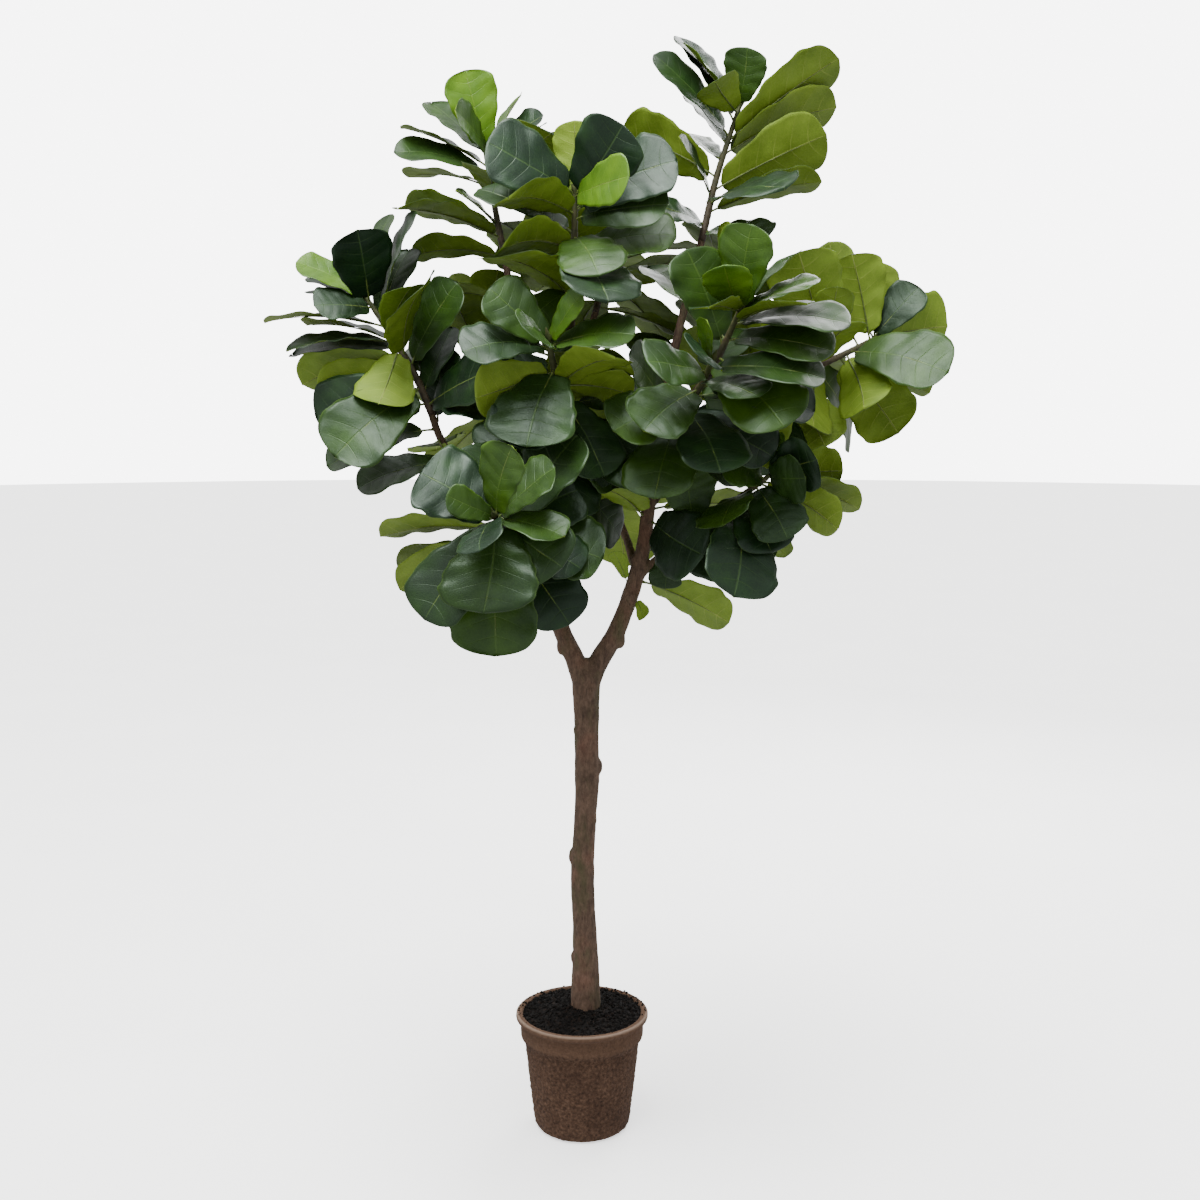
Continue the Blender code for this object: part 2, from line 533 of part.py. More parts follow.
def point_cap(bm, last, tip):
    point = bm.verts.new(tip)
    for step in range(len(last)):
        bm.faces.new((last[step], last[(step + 1) % len(last)], point))


def tube(points, start, end, sides, bud):
    """A closed round solid along part of a branch, flat at its start, and flat or with a bud at its end."""
    bm = bmesh.new()
    spans = max(1, round((end - start) * RINGS_PER_SPAN))
    rings = []
    for step in range(spans + 1):
        position = start + (end - start) * step / spans
        centre, radius = at(points, position)
        direction = heading(points, position)
        if bud and step == 0:
            centre = centre + direction * CLEARANCE
        rings.append(ring(bm, centre, direction, radius, sides))
    bm.faces.new(reversed(rings[0]))
    for lower, upper in zip(rings, rings[1:]):
        bridge(bm, lower, upper)
    if bud:
        widest = centre + direction * BUD_LENGTH * BUD_WIDEST
        swell = ring(bm, widest, direction, radius * BUD_SWELL, sides)
        bridge(bm, rings[-1], swell)
        point_cap(bm, swell, centre + direction * BUD_LENGTH)
    else:
        bm.faces.new(rings[-1])
    return bm


# ---- Leaves ----
def upper_face(reach, facing):
    """The way the upper face looks, square to the reach: from the front over the sky to the back."""
    way = reach.normalized()
    front = Vector((0.0, -1.0, 0.0))
    front = (front - way * front.dot(way)).normalized()
    sky = way.cross(front)
    if sky.z < 0:
        sky = -sky
    turn = math.radians(facing)
    return front * math.cos(turn) + sky * math.sin(turn)


def skyward(reach):
    way = reach.normalized()
    up = Vector((0.0, 0.0, 1.0))
    return (up - way * up.dot(way)).normalized()


def leaf_frame(leaf, share):
    """Midrib point, its direction, the blade's upper normal and its sideways direction at a share of the reach."""
    root, reach, face, arch = leaf["root"], leaf["reach"], leaf["face"], leaf["arch"]
    rise = arch * reach.length
    centre = root + reach * share + face * rise * 4 * share * (1 - share)
    way = (reach + face * rise * 4 * (1 - 2 * share)).normalized()
    normal = (face - way * face.dot(way)).normalized()
    return centre, way, normal, way.cross(normal)


def section(bm, leaf, share, half_width, half_height):
    """One ring of a leaf: midrib above, one edge, midrib below, the other edge."""
    centre, _, normal, side = leaf_frame(leaf, share)
    lift = normal * half_width * BLADE_CUP
    return [
        bm.verts.new(centre + normal * half_height),
        bm.verts.new(centre + side * half_width + lift),
        bm.verts.new(centre - normal * half_height),
        bm.verts.new(centre - side * half_width + lift),
    ]


def blade_rings(bm, leaf, spare):
    """The blade's rings, with some spare thickness and width when room round it is tested."""
    thick = LEAF_THICKNESS / 2 + spare
    rings = []
    for share, width in BLADE_OUTLINE:
        place = PETIOLE_SHARE + (1 - PETIOLE_SHARE) * share
        rings.append(section(bm, leaf, place, leaf["width"] / 2 * width + spare, thick * (1 - share / 2)))
    return rings


def stalk_rings(bm, leaf):
    """The stalk's two rings. On wood the first lies flat against the bark."""
    if leaf["bark"] is None:
        first = section(bm, leaf, 0.0, PETIOLE_RADIUS, PETIOLE_RADIUS)
    else:
        first = ring(bm, leaf["root"], leaf["bark"], PETIOLE_RADIUS * PETIOLE_FOOT, 4)
        first = matched(first, leaf)
    return [first, section(bm, leaf, PETIOLE_SHARE, PETIOLE_RADIUS, PETIOLE_RADIUS)]


def matched(first, leaf):
    """Turns a ring's order so that it starts nearest the blade's upper side and runs the same way."""
    _, _, normal, side = leaf_frame(leaf, 0.0)
    centre = leaf["root"]
    top = max(first, key=lambda vert: (vert.co - centre).dot(normal))
    start = first.index(top)
    order = first[start:] + first[:start]
    if (order[1].co - centre).dot(side) < (order[3].co - centre).dot(side):
        order = [order[0], order[3], order[2], order[1]]
    return order


def leaf_solid(leaf):
    """A whole leaf as one closed solid: stalk, blade and pointed tip."""
    bm = bmesh.new()
    rings = stalk_rings(bm, leaf) + blade_rings(bm, leaf, 0.0)
    bm.faces.new(reversed(rings[0]))
    for lower, upper in zip(rings, rings[1:]):
        bridge(bm, lower, upper)
    point_cap(bm, rings[-1], leaf["root"] + leaf["reach"])
    return bm


def tree_of(bm):
    tree = BVHTree.FromBMesh(bm)
    bm.free()
    return tree


def blade_room(leaf):
    bm = bmesh.new()
    rings = blade_rings(bm, leaf, ROOM / 2)
    bm.faces.new(reversed(rings[0]))
    for lower, upper in zip(rings, rings[1:]):
        bridge(bm, lower, upper)
    point_cap(bm, rings[-1], leaf["root"] + leaf["reach"])
    return tree_of(bm)


def stalk_room(leaf):
    bm = bmesh.new()
    rings = stalk_rings(bm, leaf) + blade_rings(bm, leaf, 0.0)[:1]
    for lower, upper in zip(rings, rings[1:]):
        bridge(bm, lower, upper)
    return tree_of(bm)


def turned(leaf, sideways, upward, roll, size):
    """A copy of the leaf turned about its root, at a share of its size."""
    way = leaf["reach"].normalized()
    side = way.cross(leaf["face"])
    swing = Matrix.Rotation(math.radians(sideways), 3, leaf["face"])
    lift = Matrix.Rotation(math.radians(upward), 3, side)
    spin = Matrix.Rotation(math.radians(roll), 3, way)
    copy = dict(leaf)
    copy["reach"] = swing @ lift @ leaf["reach"] * size
    copy["width"] = leaf["width"] * size
    copy["face"] = swing @ lift @ spin @ leaf["face"]
    return copy


def tries(leaf):
    """The leaf as drawn, then turned by more and more, then smaller."""
    for size in SIZES:
        for turn in TURN_STEPS:
            directions = TURN_DIRECTIONS if turn else 1
            for roll in ROLLS:
                for step in range(directions):
                    angle = math.tau * step / TURN_DIRECTIONS
                    sideways = turn * math.cos(angle)
                    yield turned(leaf, sideways, turn * math.sin(angle), roll, size)


def settle(grow, along, stems, blades, stalks):
    """Grows a leaf clear of all stems, blades and stalks that are there already."""
    places = [grow(max(0.0, min(1.0, along + slide))) for slide in SLIDES]
    for copy in (copy for leaf in places for copy in tries(leaf)):
        blade = blade_room(copy)
        if any(blade.overlap(tree) for tree in stems.values()):
            continue
        if any(blade.overlap(tree) for tree in blades + stalks):
            continue
        stalk = stalk_room(copy)
        others = [tree for owner, tree in stems.items() if copy["bark"] or owner != copy["branch"]]
        if any(stalk.overlap(tree) for tree in others + blades):
            continue
        blades.append(blade)
        stalks.append(stalk)
        return copy
    raise ValueError("no room for a leaf on " + places[0]["branch"])


def leaf_on_stem(branch, reach, width, facing, arch, along):
    points, wood = BRANCHES[branch]
    position = wood - 1 + along * (len(points) - wood)
    reach = Vector(reach) * LEAF_SCALE
    return {
        "branch": branch,
        "root": at(points, position)[0],
        "reach": reach,
        "width": width * LEAF_SCALE,
        "face": upper_face(reach, facing),
        "arch": arch,
        "bark": None,
    }


def leaf_on_wood(branch, reach, width, facing, arch, along):
    points, wood = BRANCHES[branch]
    position = along * (wood - 1)
    centre, radius = at(points, position)
    axis = heading(points, position)
    reach = Vector(reach) * LEAF_SCALE
    outward = (reach - axis * axis.dot(reach)).normalized()
    root = centre + outward * (radius + CLEARANCE)
    reach = reach - (root - centre)
    return {
        "branch": "wood",
        "root": root,
        "reach": reach,
        "width": width * LEAF_SCALE,
        "face": upper_face(reach, facing),
        "arch": arch,
        "bark": outward,
    }


def between(ends, share):
    """The value at a share of the way from the first end to the second, and no further."""
    return ends[0] + (ends[1] - ends[0]) * min(1.0, share)


def spiral_leaf(branch, share, number, along):
    """One leaf of a spiral: long and level near the stem's start, short and steep near its tip."""
    points, wood = BRANCHES[branch]
    position = wood - 1 + along * (len(points) - wood)
    axis = heading(points, position)
    lean = between(SPIRAL_LEAN, share * SPIRAL_LEAN_RATE)
    length = between(SPIRAL_REACH, share * SPIRAL_REACH_RATE) * LEAF_SCALE
    start = across(axis)
    outward = Matrix.Rotation(number * GOLDEN_ANGLE + SPIRAL_TURN, 3, axis) @ start
    reach = (axis * math.cos(math.radians(lean)) + outward * math.sin(math.radians(lean))) * length
    return {
        "branch": branch,
        "root": at(points, position)[0],
        "reach": reach,
        "width": length * BLADE_PROPORTION,
        "face": skyward(reach),
        "arch": SPIRAL_ARCH,
        "bark": None,
    }


def settled_leaves():
    """All leaves by the name of their shoot or node, each turned clear of the others."""
    stems = {"wood": tree_of(wood_mesh_parts())}
    for branch, (points, wood) in BRANCHES.items():
        stems[branch] = tree_of(tube(points, wood - 1, len(points) - 1, STEM_SIDES, True))
    blades = []
    stalks = []
    leaves = {branch: [] for branch in BRANCHES}
    for branch, rows in SHOOT_LEAVES.items():
        for along, *shape in rows:
            grow = partial(leaf_on_stem, branch, *shape)
            leaves[branch].append(settle(grow, along, stems, blades, stalks))
    for name, (branch, along, *shape) in WOOD_LEAVES.items():
        grow = partial(leaf_on_wood, branch, *shape)
        leaves[name] = [settle(grow, along, stems, blades, stalks)]
    for branch, count in SPIRAL_LEAVES.items():
        for number in range(count):
            share = number / max(1, count - 1)
            along = SPIRAL_FIRST + (SPIRAL_LAST - SPIRAL_FIRST) * share
            grow = partial(spiral_leaf, branch, share, number)
            leaves[branch].append(settle(grow, along, stems, blades, stalks))
    return leaves


# ---- Wood ----
def trunk_foot():
    """Centre and radius of the trunk where it leaves the soil."""
    return at(TRUNK, 0)


def trunk_mesh():
    bm = bmesh.new()
    centre, radius = trunk_foot()
    up = Vector((0.0, 0.0, 1.0))
    rings = [ring(bm, centre - up * TRUNK_FOOT_DEPTH, up, radius, TRUNK_SIDES)]
    last = len(TRUNK) - 1
    for step in range(last * RINGS_PER_SPAN + 1):
        position = step / RINGS_PER_SPAN
        centre, radius = at(TRUNK, position)
        direction = up if step == 0 else heading(TRUNK, position)
        rings.append(ring(bm, centre, direction, radius, TRUNK_SIDES))
    bm.faces.new(reversed(rings[0]))
    for lower, upper in zip(rings, rings[1:]):
        bridge(bm, lower, upper)
    bm.faces.new(rings[-1])
    return bm


def wood_sides(branch):
    thickest = max(point[3] for point in BRANCHES[branch][0])
    return WOOD_SIDES if thickest > THICK_WOOD else STEM_SIDES


def branch_mesh(branch):
    points, wood = BRANCHES[branch]
    return tube(points, 0, wood - 1, wood_sides(branch), False)


def wood_mesh_parts():
    """The trunk and all branches in one mesh, not yet united, to test room against."""
    bm = trunk_mesh()
    for branch in BRANCHES:
        part = branch_mesh(branch)
        mesh = bpy.data.meshes.new("part")
        part.to_mesh(mesh)
        part.free()
        bm.from_mesh(mesh)
        bpy.data.meshes.remove(mesh)
    return bm


def make_wood():
    trunk = object_from(trunk_mesh(), "trunk_and_branches")
    branches = [object_from(branch_mesh(branch), branch + "_wood") for branch in BRANCHES]
    combined(trunk, branches, "UNION")
    smooth(trunk, 50)
    painted(trunk, "bark", (0.105, 0.070, 0.050), 0.85)


def smooth(obj, angle):
    obj.data.shade_smooth()
    obj.data.set_sharp_from_angle(angle=math.radians(angle))


def make_shoots(leaves):
    """Each green stem with its leaves grown on, and each leaf that grows from the wood."""
    for branch, (points, wood) in BRANCHES.items():
        stem = object_from(tube(points, wood - 1, len(points) - 1, STEM_SIDES, True), branch)
        grown = [object_from(leaf_solid(leaf), "leaf") for leaf in leaves[branch]]
        combined(stem, grown, "UNION")
        smooth(stem, 40)
        painted(stem, branch + "_green", (0.045, 0.085, 0.030), 0.45)
    for name in WOOD_LEAVES:
        leaf = object_from(leaf_solid(leaves[name][0]), name)
        smooth(leaf, 40)
        painted(leaf, name + "_green", (0.035, 0.070, 0.030), 0.45)


# ---- Pot and soil ----
def turned_solid(profile, name):
    """Spins a closed outline of radius and height, outer side first from the bottom up, round the Z axis."""
    bm = bmesh.new()
    corners = [bm.verts.new((radius, 0.0, height)) for radius, height in profile]
    edges = [bm.edges.new(pair) for pair in zip(corners, corners[1:])]
    bmesh.ops.spin(
        bm,
        geom=corners + edges,
        cent=(0.0, 0.0, 0.0),
        axis=(0.0, 0.0, 1.0),
        angle=math.tau,
        steps=TURNED_SIDES,
        use_merge=True,
    )
    bmesh.ops.remove_doubles(bm, verts=bm.verts, dist=0.00005)
    return object_from(bm, name)


def wall_radius(height):
    """Outer radius of the pot's plain wall at a height."""
    top = POT_HEIGHT - POT_COLLAR_HEIGHT
    return POT_BASE_RADIUS + POT_TAPER * height / top


def pot_outline():
    """Half the pot's section: from the middle of the underside, up the outside, down the inside."""
    collar = POT_HEIGHT - POT_COLLAR_HEIGHT
    collar_radius = wall_radius(collar) + POT_COLLAR_STEP
    lip = collar_radius + POT_LIP_OUT
    outside = [(0.0, 0.0)]
    for step in range(4):
        angle = math.radians(30 * step)
        outside.append(
            (
                wall_radius(0) - POT_BASE_ROUND * (1 - math.sin(angle)),
                POT_BASE_ROUND * (1 - math.cos(angle)),
            )
        )
    outside += [
        (wall_radius(POT_HEIGHT * 0.4), POT_HEIGHT * 0.4),
        (wall_radius(collar - POT_SHOULDER), collar - POT_SHOULDER),
        (collar_radius - 0.001, collar + 0.002),
        (collar_radius, collar + 0.008),
        (collar_radius, POT_HEIGHT - POT_LIP_HEIGHT - 0.004),
        (lip, POT_HEIGHT - POT_LIP_HEIGHT + 0.002),
        (lip, POT_HEIGHT - 0.003),
        (lip - 0.004, POT_HEIGHT),
    ]
    inner = collar_radius - POT_WALL
    inside = [
        (inner + 0.003, POT_HEIGHT),
        (inner, POT_HEIGHT - 0.003),
        (inner, collar),
        (wall_radius(collar - POT_SHOULDER) - POT_WALL, collar - POT_SHOULDER),
        (wall_radius(POT_FLOOR) - POT_WALL - POT_BASE_ROUND * 0.4, POT_FLOOR),
        (0.0, POT_FLOOR),
    ]
    return outside, inside


def make_pot():
    outside, inside = pot_outline()
    pot = turned_solid(outside + inside, "pot")
    holes = []
    for step in range(DRAIN_HOLES):
        angle = math.tau * (step + 0.5) / DRAIN_HOLES
        bm = bmesh.new()
        place = Matrix.Translation(
            (DRAIN_CIRCLE * math.cos(angle), DRAIN_CIRCLE * math.sin(angle), POT_FLOOR / 2)
        )
        bmesh.ops.create_cone(
            bm,
            cap_ends=True,
            segments=12,
            radius1=DRAIN_RADIUS,
            radius2=DRAIN_RADIUS,
            depth=POT_FLOOR * 2,
            matrix=place,
        )
        holes.append(object_from(bm, "drain"))
    combined(pot, holes, "DIFFERENCE")
    smooth(pot, 35)
    painted(pot, "moulded_fibre", (0.110, 0.058, 0.036), 0.95)


def make_soil():
    """Soil filled to just under the rim, heaped at the trunk, with the trunk's hole left open."""
    _, inside = pot_outline()
    gap = CLEARANCE
    level = POT_HEIGHT - SOIL_BELOW_RIM
    outline = [(0.0, POT_FLOOR + gap)]
    for radius, height in reversed(inside[1:-1]):
        outline.append((radius - gap, min(level, height + (gap if height < level else 0.0))))
    wall = outline[-1][0]
    for step in range(1, 5):
        share = step / 5
        outline.append((wall * (1 - share), level + SOIL_CROWN * math.sin(share * math.pi / 2)))
    outline.append((0.0, level + SOIL_CROWN))
    soil = turned_solid(outline, "soil")
    centre, radius = trunk_foot()
    bm = bmesh.new()
    depth = TRUNK_FOOT_DEPTH + CLEARANCE
    hole_radius = (radius + CLEARANCE) / math.cos(math.pi / TRUNK_SIDES)
    up = Vector((0.0, 0.0, 1.0))
    rings = [
        ring(bm, centre - up * depth, up, hole_radius, TRUNK_SIDES),
        ring(bm, centre + up * SOIL_CROWN * 2, up, hole_radius, TRUNK_SIDES),
    ]
    bm.faces.new(reversed(rings[0]))
    bridge(bm, *rings)
    bm.faces.new(rings[1])
    combined(soil, [object_from(bm, "trunk_hole")], "DIFFERENCE")
    smooth(soil, 35)
    painted(soil, "potting_soil", (0.012, 0.011, 0.011), 1.0)


def main():
    clear_scene()
    make_pot()
    make_soil()
    make_wood()
    make_shoots(settled_leaves())


main()
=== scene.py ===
"""Looks of the potted fiddle leaf fig: leathery leaves, green shoots, bark, potting mix and a fibre pot.

Metres, +Z up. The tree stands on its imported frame: each leaf, stem and limb lies where its CAD solid does.
"""

import math
from functools import partial

import bmesh
import bpy
import numpy as np
from mathutils import Matrix, Vector, noise
from mathutils.bvhtree import BVHTree


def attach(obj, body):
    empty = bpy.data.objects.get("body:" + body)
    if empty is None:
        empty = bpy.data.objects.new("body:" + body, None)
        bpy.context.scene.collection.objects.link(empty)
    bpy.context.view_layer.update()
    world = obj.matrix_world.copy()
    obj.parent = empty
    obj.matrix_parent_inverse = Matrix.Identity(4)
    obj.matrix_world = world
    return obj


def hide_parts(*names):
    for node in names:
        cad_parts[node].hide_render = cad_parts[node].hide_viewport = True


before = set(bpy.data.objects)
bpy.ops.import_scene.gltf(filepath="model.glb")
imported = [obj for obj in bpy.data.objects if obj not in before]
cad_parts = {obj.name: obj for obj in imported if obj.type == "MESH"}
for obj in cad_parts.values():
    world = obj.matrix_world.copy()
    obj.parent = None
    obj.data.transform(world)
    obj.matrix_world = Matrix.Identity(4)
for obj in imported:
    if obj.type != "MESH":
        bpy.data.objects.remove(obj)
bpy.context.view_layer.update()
bpy.ops.object.select_all(action="DESELECT")


# ---- The plant's sizes, and where its wood and leaves grow: all as in its solids ----
CLEARANCE = 0.0005  # between solids that touch
TURNED_SIDES = 40  # facets of the pot and the soil
TRUNK_SIDES = 11
POT_HEIGHT = 0.262
POT_WALL = 0.006
POT_BASE_RADIUS = 0.106
POT_TAPER = 0.022  # how much wider the wall is below the collar than at the base
POT_COLLAR_HEIGHT = 0.055  # depth of the stepped band under the rim
POT_COLLAR_STEP = 0.008  # how far the band stands out from the wall
POT_LIP_OUT = 0.0105  # how far the rolled lip stands out from the band
SOIL_BELOW_RIM = 0.005  # where the soil meets the pot's wall
SOIL_CROWN = 0.019  # how far the soil is heaped up at the trunk
TRUNK_FOOT_DEPTH = 0.15  # how deep the trunk stands in the soil
BAND_FOOT = POT_HEIGHT - POT_COLLAR_HEIGHT
LIP_RADIUS = POT_BASE_RADIUS + POT_TAPER + POT_COLLAR_STEP + POT_LIP_OUT
SOIL_EDGE = POT_BASE_RADIUS + POT_TAPER + POT_COLLAR_STEP - POT_WALL
LEAF_THICKNESS = 0.0026  # at the midrib; a blade thins out to its edges
PETIOLE_RADIUS = 0.0026
PETIOLE_SHARE = 0.09  # part of a leaf's reach that is stalk
PETIOLE_FOOT = 1.2  # how much wider a stalk is where it meets the bark
BUD_LENGTH = 0.035  # the pointed sheath at a shoot's end
BUD_WIDEST = 0.35  # where it is widest, as a share of its length
BUD_SWELL = 1.25  # and how wide, as a share of the stem
# The wood: each name with how many of its points are wood, the last of them where the leafy shoot starts.
# Under it, each point's place to the right, to the back and up in mm, and its radius in tenths of a mm.
WOOD = """
trunk 11
8 0 276 335
8 0 330 320
8 0 400 272
3 0 520 260
2 0 600 255
8 0 700 242
12 0 800 270
11 0 900 262
10 0 985 300
11 0 1025 300
12 0 1056 170
crown_shoot 9
6 0 1000 250
-14 0 1055 215
-36 8 1100 190
-56 25 1160 180
-58 35 1260 165
-45 30 1400 145
-34 10 1540 120
-26 -10 1680 100
-18 -35 1800 85
-12 -75 1920 70
-10 -100 2016 50
right_shoot 10
14 0 1000 260
38 0 1050 225
68 0 1100 205
98 0 1170 185
122 0 1250 170
136 0 1320 155
145 0 1400 140
165 -10 1500 120
205 -60 1580 95
255 -120 1650 80
290 -165 1722 65
314 -200 1782 50
front_shoot 2
163 -5 1480 100
184 -90 1540 90
218 -180 1600 75
240 -220 1640 65
254 -255 1676 48
top_right_shoot 4
158 -5 1460 110
176 60 1600 105
214 105 1770 95
260 125 1950 82
292 140 2085 70
340 150 2232 48
far_right_shoot 4
162 0 1480 100
250 60 1560 92
370 90 1620 82
490 95 1670 75
585 130 1712 65
655 210 1745 48
low_right_shoot 4
112 0 1218 90
165 -10 1275 85
235 -50 1335 75
310 -100 1395 68
355 -130 1432 60
385 -150 1457 45
low_front_shoot 3
-56 30 1150 110
-90 -60 1210 105
-122 -160 1280 90
-142 -270 1345 72
-155 -380 1388 48
left_shoot 5
-57 35 1210 115
-125 60 1310 110
-220 50 1420 98
-292 20 1510 90
-316 4 1580 82
-352 2 1665 75
-395 10 1735 65
-452 20 1822 48
top_left_shoot 4
-38 20 1480 110
-90 70 1620 100
-138 100 1770 88
-164 125 1900 75
-190 160 2030 65
-212 200 2150 48
middle_shoot 2
-41 18 1440 100
-44 -70 1520 92
-40 -140 1600 80
-50 -190 1665 68
-59 -220 1715 48
back_left_shoot 3
-46 28 1370 105
-120 130 1470 98
-180 230 1570 85
-225 320 1680 68
-245 375 1770 48
back_top_shoot 3
-30 0 1600 95
0 100 1700 85
30 200 1800 75
50 280 1900 62
60 330 1980 45
back_right_shoot 3
143 0 1380 105
210 110 1460 98
275 210 1550 85
325 300 1640 68
345 350 1720 48
low_back_shoot 3
118 0 1240 100
100 110 1300 92
70 210 1370 80
40 300 1440 65
25 350 1500 45
"""
# Leaves of the green shoots. In each row: how far along the green stem the leaf grows (0 its start, 100 its
# tip); the way from there to the leaf's own tip in mm, across to the right, away to the back, up; the blade's
# width in mm; where the upper face looks, in degrees from the front (0) over the sky (90) to the back (180);
# and how far the blade arches, in hundredths of its reach.
SHOOT_ROWS = """
top_left_shoot
97 -40 -30 165 115 15 4
93 -125 60 120 125 80 3
90 75 50 140 105 75 3
84 125 -30 95 115 60 5
80 -190 10 85 140 82 6
72 -200 -60 40 135 62 10
60 205 -20 100 135 112 6
55 0 -170 30 125 165 6
30 -90 -40 70 90 60 5
25 -205 0 60 125 112 6
15 190 -30 -90 135 70 8
5 -200 -20 0 125 110 8
crown_shoot
97 -170 -70 90 155 30 5
95 95 -70 125 140 25 4
93 155 -100 60 100 75 5
80 -150 30 65 115 80 5
80 185 -60 115 155 35 6
75 -100 -160 20 135 120 8
70 185 -80 20 130 62 8
55 50 -170 -90 135 20 8
45 -135 -120 -10 135 120 8
40 205 -70 30 155 55 8
12 -110 -100 -100 135 40 8
top_right_shoot
99 10 -60 110 95 20 4
93 -95 -10 160 105 80 3
85 -135 40 190 125 60 4
75 -165 -30 165 125 55 5
70 -80 60 110 100 60 5
72 230 -40 165 150 150 5
64 250 50 110 150 145 6
60 -80 110 80 115 60 5
38 240 -20 115 150 145 6
32 -75 -50 120 90 50 5
20 240 -30 60 130 110 6
10 -130 -60 40 125 60 6
5 130 -100 -20 125 60 6
right_shoot
98 15 -60 155 125 15 4
97 -40 -100 75 95 20 4
90 -50 30 175 115 55 4
88 155 -30 65 115 75 5
85 125 50 125 115 130 5
75 135 -100 45 115 100 6
70 225 -50 25 155 45 8
50 200 -90 -25 135 55 8
40 -75 -20 190 145 10 5
front_shoot
98 20 -70 80 60 30 4
87 220 -40 -20 135 60 8
80 -120 -100 20 125 50 6
67 100 -100 -30 125 40 8
60 220 -30 -50 140 50 8
53 -110 -100 -80 135 30 8
40 200 -20 0 125 60 8
30 -150 -80 -50 140 40 7
25 60 -140 -120 150 30 7
18 180 -60 -80 145 45 7
12 -50 -120 -150 150 25 7
5 -140 -80 -100 140 35 7
far_right_shoot
97 10 20 170 125 165 4
95 -100 30 215 135 160 5
93 175 40 30 165 155 5
85 -50 -30 185 125 150 4
80 135 0 -100 125 115 6
60 155 -30 -100 135 110 6
45 20 -120 -120 125 150 6
35 130 -50 -160 145 140 6
15 20 -60 160 100 160 5
10 -20 -100 -130 125 150 6
5 60 -120 90 125 140 5
left_shoot
98 -140 -30 70 100 35 4
95 45 30 180 115 60 4
93 -40 -40 165 130 20 4
90 -140 50 35 100 75 5
88 -110 -80 0 90 40 6
80 85 -50 215 135 25 5
75 -255 0 10 145 88 7
70 60 -100 90 100 120 5
62 -220 -50 -20 135 78 8
58 -30 -100 -120 125 160 5
55 -235 40 -10 135 70 8
45 -240 -20 -40 135 100 8
38 105 -40 170 125 40 5
30 -200 -20 -50 125 110 8
20 -215 -40 -60 135 65 8
15 60 30 140 115 50 5
8 -170 -80 -40 125 60 8
middle_shoot
98 -115 -20 105 115 30 5
97 65 -40 95 60 40 4
93 165 -50 20 135 60 8
90 -165 -80 -10 135 55 8
80 -175 50 35 125 65 6
70 155 -40 -5 125 110 6
67 -50 -120 -150 180 20 6
63 -150 -60 -50 125 120 6
53 -100 -130 -100 135 25 8
50 150 30 -20 125 120 6
40 90 -50 -160 125 30 5
30 160 -60 -80 140 40 7
24 -160 -60 -80 140 45 7
16 170 -30 0 140 75 7
12 50 -110 -160 150 25 7
5 -60 -110 -140 145 30 7
low_front_shoot
98 -85 -60 45 62 25 4
97 35 -50 135 115 15 4
95 130 -60 -30 100 60 6
93 -125 -50 95 175 20 5
90 -20 -90 -165 185 12 6
88 110 -30 100 125 35 5
85 105 -90 -90 135 40 7
75 -140 -60 -175 145 30 7
70 -30 50 160 135 50 5
62 -10 -70 -235 175 15 6
60 150 -50 -70 125 50 8
55 -245 20 -10 135 110 7
50 140 40 85 135 50 6
45 190 -30 -10 155 45 8
42 -215 0 -100 135 125 7
40 120 -60 -160 135 30 6
20 -215 20 -90 125 115 7
low_right_shoot
97 20 -20 85 35 30 3
93 95 -50 55 115 25 5
85 65 -80 35 100 30 5
80 155 0 15 125 115 6
75 -100 -70 40 115 40 6
60 155 -40 -90 115 110 6
50 90 -90 -70 115 50 8
30 -60 -120 -60 135 25 8
10 60 -100 -100 125 30 8
"""
